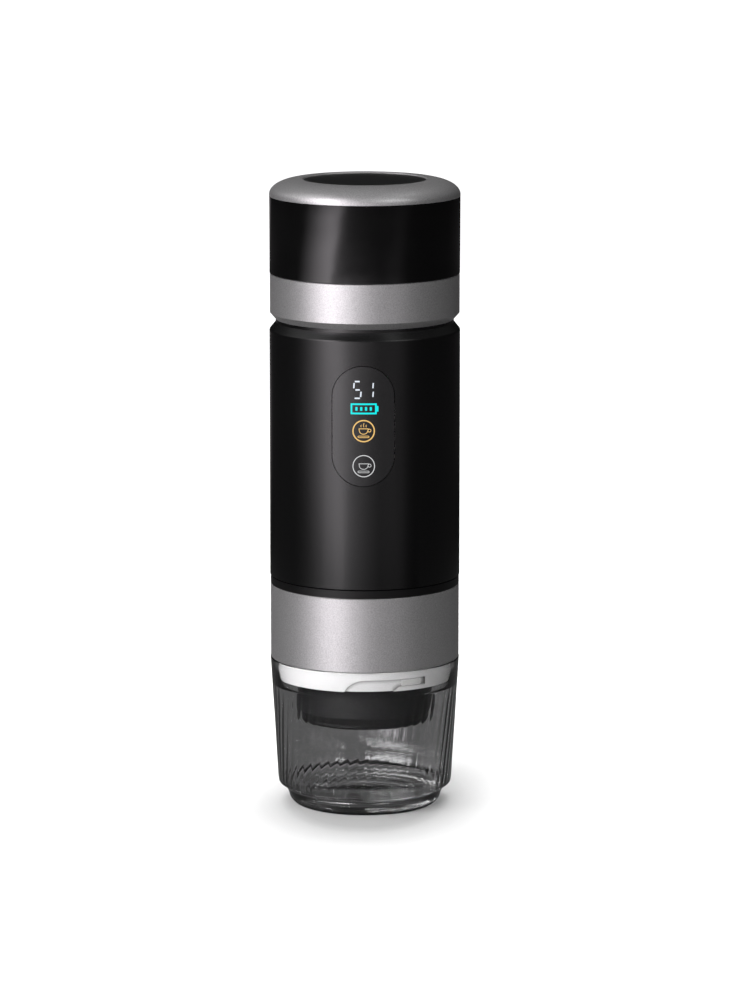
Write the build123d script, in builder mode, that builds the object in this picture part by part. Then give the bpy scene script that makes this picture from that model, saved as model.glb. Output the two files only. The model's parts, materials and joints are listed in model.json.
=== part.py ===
"""Portable espresso maker: a battery machine that stands on its own clear cup."""

import os
from math import cos, radians, sin

from build123d import *

os.makedirs("parts", exist_ok=True)

# Sizes in millimetres. The origin is the centre of the cup's foot on the table, +Z is up,
# and the front with the display faces -Y.

# Clearances
fit = 0.1  # a piece that is assembled once and stays
gap = 0.3  # two pieces that come apart or turn past each other
seam = 0.25  # the thin dark line round the display panel

# Outside sizes
body_diameter = 70.0
cup_height = 55.4
head_height = 27.5
trim_height = 3.0
housing_height = 95.5
upper_ring_height = 16.7
lid_height = 28.4
dome_height = 6.1

body_radius = body_diameter / 2
metal_inset = 0.2  # the silver rings stand this far inside the black housing
ring_radius = body_radius - metal_inset

head_top = cup_height + head_height
trim_top = head_top + trim_height
housing_top = trim_top + housing_height
upper_ring_top = housing_top + upper_ring_height
lid_bottom = upper_ring_top + fit
lid_top = lid_bottom + lid_height

# Cup
cup_inset = 0.06  # the cup's rim stands this far inside the black housing
cup_taper = 2.76  # the side draws in this much from the rim to the shoulder
cup_shoulder_step = 3.78
cup_shoulder_height = 9.1
cup_shoulder_bulge = 0.45
cup_foot_slope = 0.5
cup_foot_side_height = 4.2
cup_foot_rounding = 2.2
cup_foot_ring = 3.1
cup_foot_bevel = 0.6
cup_wall = 1.9
cup_lip_wall = 1.99
cup_floor = 6.0
cup_floor_rounding = 4.0
cup_recess_depth = 1.6
collar_overlap = 7.4  # how far the white collar reaches into the cup
collar_side_gap = 0.35
cup_seat_margin = 1.5  # the seat goes this much deeper than the collar
cup_seat_ramp = 1.0

# Brew head
shell_wall = 1.7
shell_edge = 0.3
collar_wall = 2.0
collar_floor = 2.0
collar_shoulder_rise = 0.6
collar_inside_height = 8.6
spout_drop = 16.0  # how far it hangs below the collar
spout_foot_height = 1.8
spout_taper_height = 2.5
spout_step = 0.8  # the taper draws its outside in by this much
spout_wall = 2.2
spout_outlet_radius = 7.0
spout_edge_rounding = 1.0
spout_flange_width = 4.5
spout_flange_height = 2.5
spout_gasket_height = 1.0
holder_height = 16.0
holder_wall = 4.2
holder_shelf = 1.5
basket_sheet = 0.6
basket_side_gap = 0.4
basket_depth = 23.5
basket_rim_width = 4.9
basket_hole_radius = 0.5
basket_hole_spacing = 4.6
basket_hole_rings = 4
head_screw_count = 4
head_screw_inset = 2.0
head_screw_radius = 0.9
head_screw_head_radius = 1.7
head_screw_head_height = 1.4
head_screw_key_radius = 0.8
head_screw_key_depth = 0.7
head_screw_length = 11.0

# Bayonet tracks in the collar, as angles round the collar and heights above its lower edge
track_count = 3
track_depth = 0.9
track_entry_angle = -12.7
track_top_angle = 2.4
track_lip_low_angle = 17.0
track_lip_angle = 23.0
track_end_angle = 42.4
track_height = 4.4
track_lip_height = 1.6
track_curve_angle = 4.0
track_run_out = 1.0  # the tracks are cut this far past the collar's lower edge

# Group head, which carries the machine on the brew head
thread_gap = gap
thread_ring_wall = 1.5
group_gasket_height = 2.7
gasket_bevel = 0.25
group_step_height = 1.4
group_flange_height = 1.5
trim_lip = 2.3
shower_margin = 1.8
shower_sheet = 0.8
shower_hole_radius = 0.6
shower_hole_spacing = 4.8
shower_hole_rings = 3
shower_screw_radius = 1.5
shower_screw_head_radius = 3.0
shower_screw_head_height = 1.4
shower_cross_length = 4.4
shower_cross_width = 0.8
shower_cross_depth = 0.7
shower_screw_length = 6.0
shower_recess_depth = 1.2

# Housing
housing_wall = 2.0
housing_edge = 0.5
shoulder_height = 2.8
shoulder_rounding = 0.8
neck_height = 1.1
neck_depth = 2.3
neck_wall = 1.4

# Display panel
panel_height = 43.8
panel_width = 22.4
panel_rise = 60.6  # height of its centre above the housing's lower edge
panel_thickness = 3.6
display_board_inset = 0.55
display_board_height = 38.0
display_board_thickness = 1.2

# Frame plates and posts
lower_plate_height = 2.5
mid_plate_height = 2.0
mid_plate_gap = 4.0  # room for the pressure tube above the boiler
upper_plate_height = 2.0
post_radius = 2.2
post_neck_radius = 1.7
front_post_inset = 4.7
front_post_angle = 20.0
rear_post_inset = 3.2
rear_post_angle = 60.0
frame_screw_radius = 1.0
frame_screw_head_radius = 1.9
frame_screw_head_height = 1.1
frame_screw_length = 8.0

# Boiler, on the water line that runs down the machine beside its axis
water_line_y = -8.0
boiler_clearance = 2.5  # between its sleeve and the battery cells
boiler_height = 20.0
boiler_leg_height = 3.6
boiler_leg_radius = 1.5
boiler_leg_inset = 3.0
boiler_leg_count = 3
boiler_spout_height = 3.2
boiler_bore_radius = 0.9
boiler_chamber_radius = 4.0
boiler_chamber_wall = 2.5
heater_rod_radius = 2.0
heater_rod_inset = 5.5
heater_rod_stand = 2.0
sleeve_wall = 1.8
sleeve_inset = 1.0
thermostat_radius = 3.2
thermostat_height = 2.6
thermostat_inset = 4.5
tube_wall = 1.4

# Pump
pump_cushion_height = 2.0
pump_cushion_radius = 8.0
pump_radius = 5.6
pump_bore_radius = 4.4
pump_height = 36.0
pump_end_wall = 3.0
pump_spout_radius = 2.0
pump_inlet_radius = 2.5
pump_spout_height = 4.0
pump_water_bore = 1.1
plunger_length = 14.0
plunger_gap = 0.08
plunger_bevel = 0.3
coil_radius = 10.4
coil_height = 26.0
pump_frame_plate = 1.6
pump_frame_width = 24.0
pump_frame_depth = 16.0
plunger_bore_radius = 1.2
spring_wire_radius = 0.35
spring_radius = 3.2
spring_turns = 5

# Battery
cell_radius = 9.2
cell_length = 65.2
cell_edge = 0.5
cell_wall_gap = 1.0
cell_angles = (30.0, 90.0, 150.0)
cell_cap_radius = 2.8
cell_cap_height = 0.6
cell_floor = 2.2
cell_socket_depth = 5.0
cell_socket_wall = 0.45
strap_thickness = 0.4
strap_width = 7.0

# Boards and charging socket
control_board_width = 30.0
control_board_height = 33.0
control_board_thickness = 1.6
control_board_inset = 5.4
board_part_height = 1.4
board_chip = 7.0
board_driver = 5.0
board_capacitor_radius = 3.0
board_part_spread = 7.0
charge_board_width = 16.0
charge_board_setback = 1.5
charge_board_depth = 13.0
charge_board_thickness = 1.2
usb_width = 8.94
usb_height = 3.26
usb_depth = 7.35
usb_wall = 0.3
usb_mouth_depth = 6.2
usb_tongue_setback = 0.8
usb_tongue_width = 6.7
usb_tongue_height = 0.7
usb_recess = 0.3  # how far the socket's mouth lies behind the floor of the cover's pocket

# Cover over the charging socket
cover_width = 12.0
cover_height = 7.0
cover_thickness = 2.0
cover_hinge_radius = 0.9
cover_side_gap = 0.25
cover_lower_gap = 0.35
pad_thickness = 1.6
pad_margin = 2.0
socket_gap = 0.2

# Water tank
tank_wall = 1.8
tank_floor_thickness = 2.0
tank_gap = 7.8  # room for the charging socket below the tank
tank_neck_height = 7.5
tank_flange_height = 2.0
tank_flange_depth = 0.6  # how far the flange lies below the silver ring's top
tank_flange_lip = 0.2  # how far the flange stands out past the lid's liner
tank_spout_height = 4.5
tank_bore_radius = 1.3
upper_ring_wall = 3.7
upper_ring_chamfer = 2.4
upper_ring_edge = 0.2
strainer_radius = 4.0
strainer_sheet = 0.6
strainer_hole_radius = 0.45
strainer_hole_count = 6
strainer_hole_circle = 2.4

# Lid
lid_plate = 2.0
lid_taper = 0.07  # the lid is this much wider at its top than at its lower edge
lid_gasket_height = 1.5
liner_wall = 1.7
liner_plate = 1.6
dome_edge_width = 11.0
dome_band_height = 0.6
dome_land_width = 1.6
dome_land_bevel = 0.4
lid_edge = 0.25
inlay_thickness = 1.2
inlay_recess = 0.4
dome_sheet = 1.8
dome_rim = 4.5

# Cup: a tumbler with a stepped foot, whose rim carries the brew head
cup_rim_radius = body_radius - cup_inset
cup_seat_radius = cup_rim_radius - cup_lip_wall
collar_radius = cup_seat_radius - collar_side_gap
cup_shoulder_radius = cup_rim_radius - cup_taper
cup_foot_side_radius = cup_shoulder_radius - cup_shoulder_step
cup_foot_radius = cup_foot_side_radius - cup_foot_slope - cup_foot_rounding
cup_recess_radius = cup_foot_radius - cup_foot_ring - cup_foot_bevel
cup_slope = (cup_rim_radius - cup_shoulder_radius) / (cup_height - cup_shoulder_height)


def cup_side(height):
    """Outer radius of the cup's tapered wall at a height."""
    return cup_shoulder_radius + cup_slope * (height - cup_shoulder_height)


cup_seat_bottom = cup_height - collar_overlap - cup_seat_margin
cup_ramp_bottom = cup_seat_bottom - cup_seat_ramp
cup_inner_top = (cup_side(cup_ramp_bottom) - cup_wall, cup_ramp_bottom)
cup_corner_height = cup_floor + cup_floor_rounding
cup_inner_low = (cup_side(cup_corner_height) - cup_wall, cup_corner_height)
cup_corner_end = (cup_inner_low[0] - cup_floor_rounding, cup_floor)
cup_corner_middle = (
    cup_inner_low[0] - cup_floor_rounding * (1 - cos(radians(45))),
    cup_corner_height - cup_floor_rounding * sin(radians(45)),
)
cup_shoulder_middle = (
    (cup_foot_side_radius + cup_shoulder_radius) / 2 + cup_shoulder_bulge,
    (cup_foot_side_height + cup_shoulder_height) / 2,
)
cup_foot_turn = (cup_foot_radius + cup_foot_rounding, cup_foot_rounding)
cup_foot_middle = (
    cup_foot_radius + cup_foot_rounding * sin(radians(45)),
    cup_foot_rounding * (1 - cos(radians(45))),
)

with BuildPart() as cup:
    with BuildSketch(Plane.XZ):
        with BuildLine():
            Polyline((0, cup_recess_depth), (cup_recess_radius, cup_recess_depth))
            Line((cup_recess_radius, cup_recess_depth), (cup_recess_radius + cup_foot_bevel, 0))
            Line((cup_recess_radius + cup_foot_bevel, 0), (cup_foot_radius, 0))
            ThreePointArc((cup_foot_radius, 0), cup_foot_middle, cup_foot_turn)
            Line(cup_foot_turn, (cup_foot_side_radius, cup_foot_side_height))
            ThreePointArc(
                (cup_foot_side_radius, cup_foot_side_height),
                cup_shoulder_middle,
                (cup_shoulder_radius, cup_shoulder_height),
            )
            Line((cup_shoulder_radius, cup_shoulder_height), (cup_rim_radius, cup_height))
            Line((cup_rim_radius, cup_height), (cup_seat_radius, cup_height))
            Line((cup_seat_radius, cup_height), (cup_seat_radius, cup_seat_bottom))
            Line((cup_seat_radius, cup_seat_bottom), cup_inner_top)
            Line(cup_inner_top, cup_inner_low)
            ThreePointArc(cup_inner_low, cup_corner_middle, cup_corner_end)
            Line(cup_corner_end, (0, cup_floor))
            Line((0, cup_floor), (0, cup_recess_depth))
        make_face()
    revolve(axis=Axis.Z)
cup.part.label = "cup"

# Head shell: the lower silver band, which stands on the cup's rim
shell_inner_radius = ring_radius - shell_wall
with BuildPart() as head_shell:
    with BuildSketch(Plane.XY.offset(cup_height)):
        Circle(ring_radius)
        Circle(shell_inner_radius, mode=Mode.SUBTRACT)
    extrude(amount=head_height)
    chamfer(head_shell.edges().filter_by(GeomType.CIRCLE).sort_by(SortBy.RADIUS)[-2:], shell_edge)
head_shell.part.label = "head_shell"

# Collar: the white ring inside the cup, with three bayonet tracks on its outside
collar_bottom = cup_height - collar_overlap
collar_shoulder = cup_height + collar_shoulder_rise
collar_top = cup_height + collar_inside_height
collar_inner_radius = collar_radius - collar_wall
spout_flange_radius = collar_inner_radius - 4 * fit
spout_radius = spout_flange_radius - spout_flange_width
collar_hole_radius = spout_radius + gap
head_screw_circle = spout_flange_radius - head_screw_inset


def track_point(angle, height):
    """Point of a bayonet track, seen from the front, at an angle round the collar."""
    return (collar_radius * sin(radians(angle)), collar_bottom + height)


with BuildPart() as bayonet_track:
    with BuildSketch(Plane.XZ):
        with BuildLine():
            Spline(
                track_point(track_entry_angle, -track_run_out),
                track_point(track_entry_angle + track_curve_angle, 0.55 * track_height),
                track_point(track_top_angle, track_height),
                tangents=[(0.2, 1), (1, 0)],
            )
            Polyline(
                track_point(track_top_angle, track_height),
                track_point(track_end_angle, track_height),
                track_point(track_end_angle, track_lip_height),
                track_point(track_lip_angle, track_lip_height),
                track_point(track_lip_low_angle, -track_run_out),
                track_point(track_entry_angle, -track_run_out),
            )
        make_face()
    extrude(amount=2 * collar_radius)
    Cylinder(collar_radius - track_depth, 2 * collar_top, mode=Mode.SUBTRACT)

with BuildPart() as bayonet_collar:
    with BuildSketch(Plane.XZ):
        with BuildLine():
            Polyline(
                (collar_hole_radius, collar_bottom),
                (collar_radius, collar_bottom),
                (collar_radius, collar_shoulder),
                (shell_inner_radius - fit, collar_shoulder),
                (shell_inner_radius - fit, collar_top),
                (collar_inner_radius, collar_top),
                (collar_inner_radius, collar_bottom + collar_floor),
                (collar_hole_radius, collar_bottom + collar_floor),
                close=True,
            )
        make_face()
    revolve(axis=Axis.Z)
    with PolarLocations(0, track_count):
        add(bayonet_track.part, mode=Mode.SUBTRACT)
    with BuildSketch(Plane.XY.offset(collar_bottom)):
        with PolarLocations(head_screw_circle, head_screw_count, start_angle=45):
            Circle(head_screw_radius + fit)
    extrude(amount=collar_floor, mode=Mode.SUBTRACT)
    with BuildSketch(Plane.XY.offset(collar_bottom)):
        with PolarLocations(head_screw_circle, head_screw_count, start_angle=45):
            Circle(head_screw_head_radius + fit)
    extrude(amount=head_screw_head_height, mode=Mode.SUBTRACT)
bayonet_collar.part.label = "bayonet_collar"

# Spout: the black cup below the filter basket, with the coffee outlet in its floor
spout_flange_bottom = collar_bottom + collar_floor
spout_flange_top = spout_flange_bottom + spout_flange_height
spout_inner_radius = spout_radius - spout_wall
spout_bottom = collar_bottom - spout_drop
spout_foot_radius = spout_radius - spout_step
spout_foot_top = spout_bottom + spout_foot_height
with BuildPart() as spout:
    with BuildSketch(Plane.XZ):
        with BuildLine():
            Polyline(
                (spout_outlet_radius, spout_bottom),
                (spout_foot_radius, spout_bottom),
                (spout_foot_radius, spout_foot_top),
                (spout_radius, spout_foot_top + spout_taper_height),
                (spout_radius, spout_flange_bottom),
                (spout_flange_radius, spout_flange_bottom),
                (spout_flange_radius, spout_flange_top),
                (spout_inner_radius, spout_flange_top),
                (spout_inner_radius - spout_step, spout_bottom + 2 * spout_wall),
                (spout_outlet_radius, spout_bottom + spout_wall),
                close=True,
            )
        make_face()
    revolve(axis=Axis.Z)
    spout_foot_edges = spout.edges().filter_by(GeomType.CIRCLE).group_by(Axis.Z)[0]
    fillet(spout_foot_edges.sort_by(SortBy.RADIUS)[-1], spout_edge_rounding)
    with BuildSketch(Plane.XY.offset(spout_flange_bottom)):
        with PolarLocations(head_screw_circle, head_screw_count, start_angle=45):
            Circle(head_screw_radius + fit)
    extrude(amount=spout_flange_height, mode=Mode.SUBTRACT)
spout.part.label = "spout"

# Spout gasket: flat ring between the spout and the basket holder
holder_bottom = spout_flange_top + spout_gasket_height
holder_top = holder_bottom + holder_height
holder_inner_radius = spout_flange_radius - holder_wall
with BuildPart() as spout_gasket:
    with BuildSketch(Plane.XY.offset(spout_flange_top)):
        Circle(spout_flange_radius - fit)
        Circle(spout_inner_radius, mode=Mode.SUBTRACT)
        with PolarLocations(head_screw_circle, head_screw_count, start_angle=45):
            Circle(head_screw_radius + fit, mode=Mode.SUBTRACT)
    extrude(amount=spout_gasket_height)
spout_gasket.part.label = "spout_gasket"

# Basket holder: the ring that the filter basket hangs in
with BuildPart() as basket_holder:
    with BuildSketch(Plane.XZ):
        with BuildLine():
            Polyline(
                (holder_inner_radius, holder_bottom),
                (spout_flange_radius, holder_bottom),
                (spout_flange_radius, holder_top),
                (spout_inner_radius, holder_top),
                (spout_inner_radius, holder_top - holder_shelf),
                (holder_inner_radius, holder_top - 2 * holder_shelf),
                close=True,
            )
        make_face()
    revolve(axis=Axis.Z)
    with BuildSketch(Plane.XY.offset(holder_bottom)):
        with PolarLocations(head_screw_circle, head_screw_count, start_angle=45):
            Circle(head_screw_radius + fit)
    extrude(amount=head_screw_length, mode=Mode.SUBTRACT)
basket_holder.part.label = "basket_holder"

# Filter basket: pressed steel cup with a pierced floor and a flat rim
basket_radius = spout_inner_radius - spout_step - basket_side_gap
basket_rim_radius = basket_radius + basket_rim_width
basket_rim_top = holder_top + basket_sheet
basket_bottom = basket_rim_top - basket_depth
with BuildPart() as filter_basket:
    with BuildSketch(Plane.XZ):
        with BuildLine():
            Polyline(
                (0, basket_bottom),
                (basket_radius, basket_bottom),
                (basket_radius, holder_top),
                (basket_rim_radius, holder_top),
                (basket_rim_radius, basket_rim_top),
                (basket_radius - basket_sheet, basket_rim_top),
                (basket_radius - basket_sheet, basket_bottom + basket_sheet),
                (0, basket_bottom + basket_sheet),
                close=True,
            )
        make_face()
    revolve(axis=Axis.Z)
    with BuildSketch(Plane.XY.offset(basket_bottom)):
        Circle(basket_hole_radius)
        for ring in range(1, basket_hole_rings):
            with PolarLocations(ring * basket_hole_spacing, 6 * ring):
                Circle(basket_hole_radius)
    extrude(amount=basket_sheet, mode=Mode.SUBTRACT)
filter_basket.part.label = "filter_basket"

# Thread ring: the brew head's nut, which the machine screws into
thread_ring_inner = shell_inner_radius - fit - thread_ring_wall
with BuildPart() as thread_ring:
    with BuildSketch(Plane.XY.offset(collar_top)):
        Circle(shell_inner_radius - fit)
        Circle(thread_ring_inner, mode=Mode.SUBTRACT)
    extrude(amount=head_top - collar_top - gap)
thread_ring.part.label = "thread_ring"

# Head screws: four screws up through the collar's floor into the basket holder
with BuildPart() as head_screws:
    with BuildSketch(Plane.XY.offset(collar_bottom + head_screw_head_height)):
        with PolarLocations(head_screw_circle, head_screw_count, start_angle=45):
            Circle(head_screw_radius)
    extrude(amount=head_screw_length)
    with BuildSketch(Plane.XY.offset(collar_bottom + fit)):
        with PolarLocations(head_screw_circle, head_screw_count, start_angle=45):
            Circle(head_screw_head_radius)
    extrude(amount=head_screw_head_height - fit)
    with BuildSketch(Plane.XY.offset(collar_bottom + fit)):
        with PolarLocations(head_screw_circle, head_screw_count, start_angle=45):
            RegularPolygon(head_screw_key_radius, 6)
    extrude(amount=head_screw_key_depth, mode=Mode.SUBTRACT)
head_screws.part.label = "head_screws"

# Group gasket: the seal between the basket's rim and the group head
group_bottom = basket_rim_top + group_gasket_height
group_gasket_inner_radius = basket_radius + gap
with BuildPart() as group_gasket:
    with BuildSketch(Plane.XY.offset(basket_rim_top)):
        Circle(basket_rim_radius)
        Circle(group_gasket_inner_radius, mode=Mode.SUBTRACT)
    extrude(amount=group_gasket_height)
    chamfer(group_gasket.edges().group_by(Axis.Z)[0], gasket_bevel)
group_gasket.part.label = "group_gasket"

# Group head: the machine's threaded lower end, with the water channel
group_radius = thread_ring_inner - thread_gap
group_face_radius = basket_rim_radius + fit
group_flange_radius = ring_radius - trim_lip - fit
shower_radius = group_gasket_inner_radius - shower_margin
group_flange_top = head_top + group_flange_height
boiler_spout_radius = pump_spout_radius
with BuildPart() as group_head:
    with BuildSketch(Plane.XZ):
        with BuildLine():
            Polyline(
                (0, group_bottom + shower_recess_depth),
                (shower_radius + fit, group_bottom + shower_recess_depth),
                (shower_radius + fit, group_bottom),
                (group_face_radius, group_bottom),
                (group_face_radius, group_bottom + group_step_height),
                (group_radius, group_bottom + group_step_height),
                (group_radius, head_top),
                (group_flange_radius, head_top),
                (group_flange_radius, group_flange_top),
                (group_radius, group_flange_top),
                (group_radius, trim_top),
                (0, trim_top),
                close=True,
            )
        make_face()
    revolve(axis=Axis.Z)
    with BuildSketch(Plane.XY.offset(group_bottom)):
        Circle(shower_screw_radius)
    extrude(amount=shower_recess_depth + shower_screw_length, mode=Mode.SUBTRACT)
    with BuildSketch(Plane.XY.offset(group_bottom)):
        with Locations((0, water_line_y)):
            Circle(boiler_bore_radius)
    extrude(amount=trim_top - group_bottom, mode=Mode.SUBTRACT)
    with BuildSketch(Plane.XY.offset(trim_top - boiler_spout_height)):
        with Locations((0, water_line_y)):
            Circle(boiler_spout_radius + fit)
    extrude(amount=boiler_spout_height, mode=Mode.SUBTRACT)
group_head.part.label = "group_head"

# Shower screen and its screw: the pierced disc that spreads water on the coffee
shower_bottom = group_bottom + shower_recess_depth - shower_sheet
with BuildPart() as shower_screen:
    with BuildSketch(Plane.XY.offset(shower_bottom)):
        Circle(shower_radius)
        Circle(shower_screw_radius + fit, mode=Mode.SUBTRACT)
        for ring in range(1, shower_hole_rings + 1):
            with PolarLocations(ring * shower_hole_spacing + 1, 8 * ring):
                Circle(shower_hole_radius, mode=Mode.SUBTRACT)
    extrude(amount=shower_sheet)
shower_screen.part.label = "shower_screen"

with BuildPart() as shower_screw:
    with BuildSketch(Plane.XY.offset(shower_bottom)):
        Circle(shower_screw_radius - fit / 2)
    extrude(amount=shower_sheet + shower_screw_length)
    with BuildSketch(Plane.XY.offset(shower_bottom - shower_screw_head_height)):
        Circle(shower_screw_head_radius)
    extrude(amount=shower_screw_head_height)
    with BuildSketch(Plane.XY.offset(shower_bottom - shower_screw_head_height)):
        Rectangle(shower_cross_length, shower_cross_width)
        Rectangle(shower_cross_width, shower_cross_length)
    extrude(amount=shower_cross_depth, mode=Mode.SUBTRACT)
shower_screw.part.label = "shower_screw"

# Trim ring: the gloss black ring between the lower silver band and the housing
with BuildPart() as trim_ring:
    with BuildSketch(Plane.XZ):
        with BuildLine():
            Polyline(
                (group_flange_radius + fit, head_top),
                (ring_radius - shell_edge, head_top),
                (ring_radius, head_top + shell_edge),
                (ring_radius, trim_top),
                (group_radius + fit, trim_top),
                (group_radius + fit, group_flange_top),
                (group_flange_radius + fit, group_flange_top),
                close=True,
            )
        make_face()
    revolve(axis=Axis.Z)
trim_ring.part.label = "trim_ring"

# Main housing: the satin black sleeve, with the panel window and the charging pocket
housing_inner_radius = body_radius - housing_wall
neck_radius = body_radius - neck_depth
lower_plate_top = trim_top + lower_plate_height
cells_bottom = lower_plate_top + cell_floor + strap_thickness
cells_top = cells_bottom + cell_length + cell_cap_height
boiler_bottom = lower_plate_top + boiler_leg_height
boiler_top = boiler_bottom + boiler_height
mid_plate_bottom = boiler_top + mid_plate_gap
pump_bottom = mid_plate_bottom + mid_plate_height + pump_cushion_height
pump_top = pump_bottom + pump_height
upper_plate_bottom = max(cells_top + strap_thickness + cell_floor, pump_top) + gap
upper_plate_top = upper_plate_bottom + upper_plate_height
shoulder_bottom = housing_top - neck_height - shoulder_height
usb_bottom = upper_plate_top + charge_board_thickness
usb_centre = usb_bottom + usb_height / 2
cover_bottom = usb_centre - cover_height / 2
cover_floor_depth = body_radius - cover_thickness
cover_hinge_y = cover_floor_depth + cover_hinge_radius
cover_hinge_z = cover_bottom + cover_hinge_radius
pocket_floor_depth = cover_floor_depth - fit
pad_depth = pocket_floor_depth - pad_thickness
pocket_height = cover_height + cover_side_gap + cover_lower_gap
pocket_centre = cover_bottom + (cover_height + cover_side_gap - cover_lower_gap) / 2
pocket_width = cover_width + 2 * cover_side_gap
panel_centre = trim_top + panel_rise
panel_back_depth = body_radius - panel_thickness

with BuildPart() as main_housing:
    with BuildSketch(Plane.XZ) as housing_section:
        with BuildLine():
            Polyline(
                (housing_inner_radius, trim_top),
                (body_radius - housing_edge, trim_top),
                (body_radius, trim_top + housing_edge),
                (body_radius, shoulder_bottom),
                (neck_radius, housing_top - neck_height),
                (neck_radius, housing_top),
                (neck_radius - neck_wall, housing_top),
                (neck_radius - neck_wall, housing_top - 2 * neck_height),
                (housing_inner_radius, shoulder_bottom - housing_edge),
                close=True,
            )
        make_face()
        shoulder_corners = housing_section.vertices().sort_by_distance((body_radius, shoulder_bottom))
        fillet(shoulder_corners[0], shoulder_rounding)
    revolve(axis=Axis.Z)
    with BuildSketch(Plane(origin=(0, pad_depth, usb_centre), x_dir=(-1, 0, 0), z_dir=(0, 1, 0))):
        Rectangle(pocket_width + 2 * pad_margin, pocket_height + pad_margin / 2)
    extrude(amount=housing_inner_radius - pad_depth + fit)
    with BuildSketch(Plane(origin=(0, pocket_floor_depth, pocket_centre), x_dir=(-1, 0, 0), z_dir=(0, 1, 0))):
        Rectangle(pocket_width, pocket_height)
    extrude(amount=body_radius, mode=Mode.SUBTRACT)
    with BuildSketch(Plane(origin=(0, pad_depth, usb_centre), x_dir=(-1, 0, 0), z_dir=(0, 1, 0))):
        SlotOverall(usb_width + 2 * socket_gap, usb_height + 2 * socket_gap)
    extrude(amount=pad_thickness, mode=Mode.SUBTRACT)
    with BuildSketch(Plane(origin=(0, 0, panel_centre), x_dir=(1, 0, 0), z_dir=(0, -1, 0))):
        SlotOverall(panel_height + 2 * seam, panel_width + 2 * seam, rotation=90)
    extrude(amount=body_diameter, mode=Mode.SUBTRACT)
main_housing.part.label = "main_housing"

# Display panel: smooth window flush with the housing, with the touch zones behind it
with BuildPart() as display_panel:
    with BuildSketch(Plane(origin=(0, -panel_back_depth, panel_centre), x_dir=(1, 0, 0), z_dir=(0, -1, 0))):
        SlotOverall(panel_height, panel_width, rotation=90)
    extrude(amount=2 * panel_thickness)
    Cylinder(body_radius, 2 * housing_top, mode=Mode.INTERSECT)
display_panel.part.label = "display_panel"

panel_back_width = 2 * (housing_inner_radius**2 - panel_back_depth**2) ** 0.5
display_board_width = panel_back_width - 2 * display_board_inset
with BuildPart() as display_board:
    with BuildSketch(Plane(origin=(0, -panel_back_depth, panel_centre), x_dir=(1, 0, 0), z_dir=(0, 1, 0))):
        RectangleRounded(display_board_width, display_board_height, display_board_width / 6)
    extrude(amount=display_board_thickness)
display_board.part.label = "display_board"

# Frame: three plates on four posts carry everything inside the housing
plate_radius = housing_inner_radius - 2 * fit
front_post_x = (housing_inner_radius - front_post_inset) * cos(radians(front_post_angle))
front_post_y = -(housing_inner_radius - front_post_inset) * sin(radians(front_post_angle))
rear_post_x = (housing_inner_radius - rear_post_inset) * cos(radians(rear_post_angle))
rear_post_y = (housing_inner_radius - rear_post_inset) * sin(radians(rear_post_angle))
front_posts = [(front_post_x, front_post_y), (-front_post_x, front_post_y)]
rear_posts = [(rear_post_x, rear_post_y), (-rear_post_x, rear_post_y)]
all_posts = front_posts + rear_posts
with BuildPart() as lower_plate:
    with BuildSketch(Plane.XY.offset(trim_top)):
        Circle(plate_radius)
        with Locations((0, water_line_y)):
            Circle(boiler_spout_radius + fit, mode=Mode.SUBTRACT)
        with Locations(*all_posts):
            Circle(frame_screw_radius + fit, mode=Mode.SUBTRACT)
    extrude(amount=lower_plate_height)
    with BuildSketch(Plane.XY.offset(trim_top)):
        with Locations(*all_posts):
            Circle(frame_screw_head_radius + fit)
    extrude(amount=frame_screw_head_height, mode=Mode.SUBTRACT)
lower_plate.part.label = "lower_plate"

with BuildPart() as frame_posts:
    with BuildSketch(Plane.XY.offset(lower_plate_top)):
        with Locations(*front_posts):
            Circle(post_radius)
    extrude(amount=mid_plate_bottom - lower_plate_top)
    with BuildSketch(Plane.XY.offset(mid_plate_bottom)):
        with Locations(*front_posts):
            Circle(post_neck_radius)
    extrude(amount=upper_plate_bottom - mid_plate_bottom)
    with BuildSketch(Plane.XY.offset(lower_plate_top)):
        with Locations(*rear_posts):
            Circle(post_radius)
    extrude(amount=upper_plate_bottom - lower_plate_top)
    with BuildSketch(Plane.XY.offset(lower_plate_top)):
        with Locations(*all_posts):
            Circle(frame_screw_radius)
    extrude(amount=frame_screw_length, mode=Mode.SUBTRACT)
    with BuildSketch(Plane.XY.offset(upper_plate_bottom)):
        with Locations(*all_posts):
            Circle(frame_screw_radius)
    extrude(amount=-frame_screw_length, mode=Mode.SUBTRACT)
frame_posts.part.label = "frame_posts"

pressure_tube_radius = pump_spout_radius + fit / 2 + tube_wall
mid_plate_depth = 2 * (pump_cushion_radius + gap + water_line_y - front_post_y)
with BuildPart() as mid_plate:
    with BuildSketch(Plane.XY.offset(mid_plate_bottom)):
        with Locations((0, front_post_y)):
            Rectangle(2 * (front_post_x + post_radius), mid_plate_depth)
        Circle(plate_radius, mode=Mode.INTERSECT)
        with Locations((0, water_line_y)):
            Circle(pressure_tube_radius + gap, mode=Mode.SUBTRACT)
        with Locations(*front_posts):
            Circle(post_neck_radius + fit, mode=Mode.SUBTRACT)
    extrude(amount=mid_plate_height)
mid_plate.part.label = "mid_plate"

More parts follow.
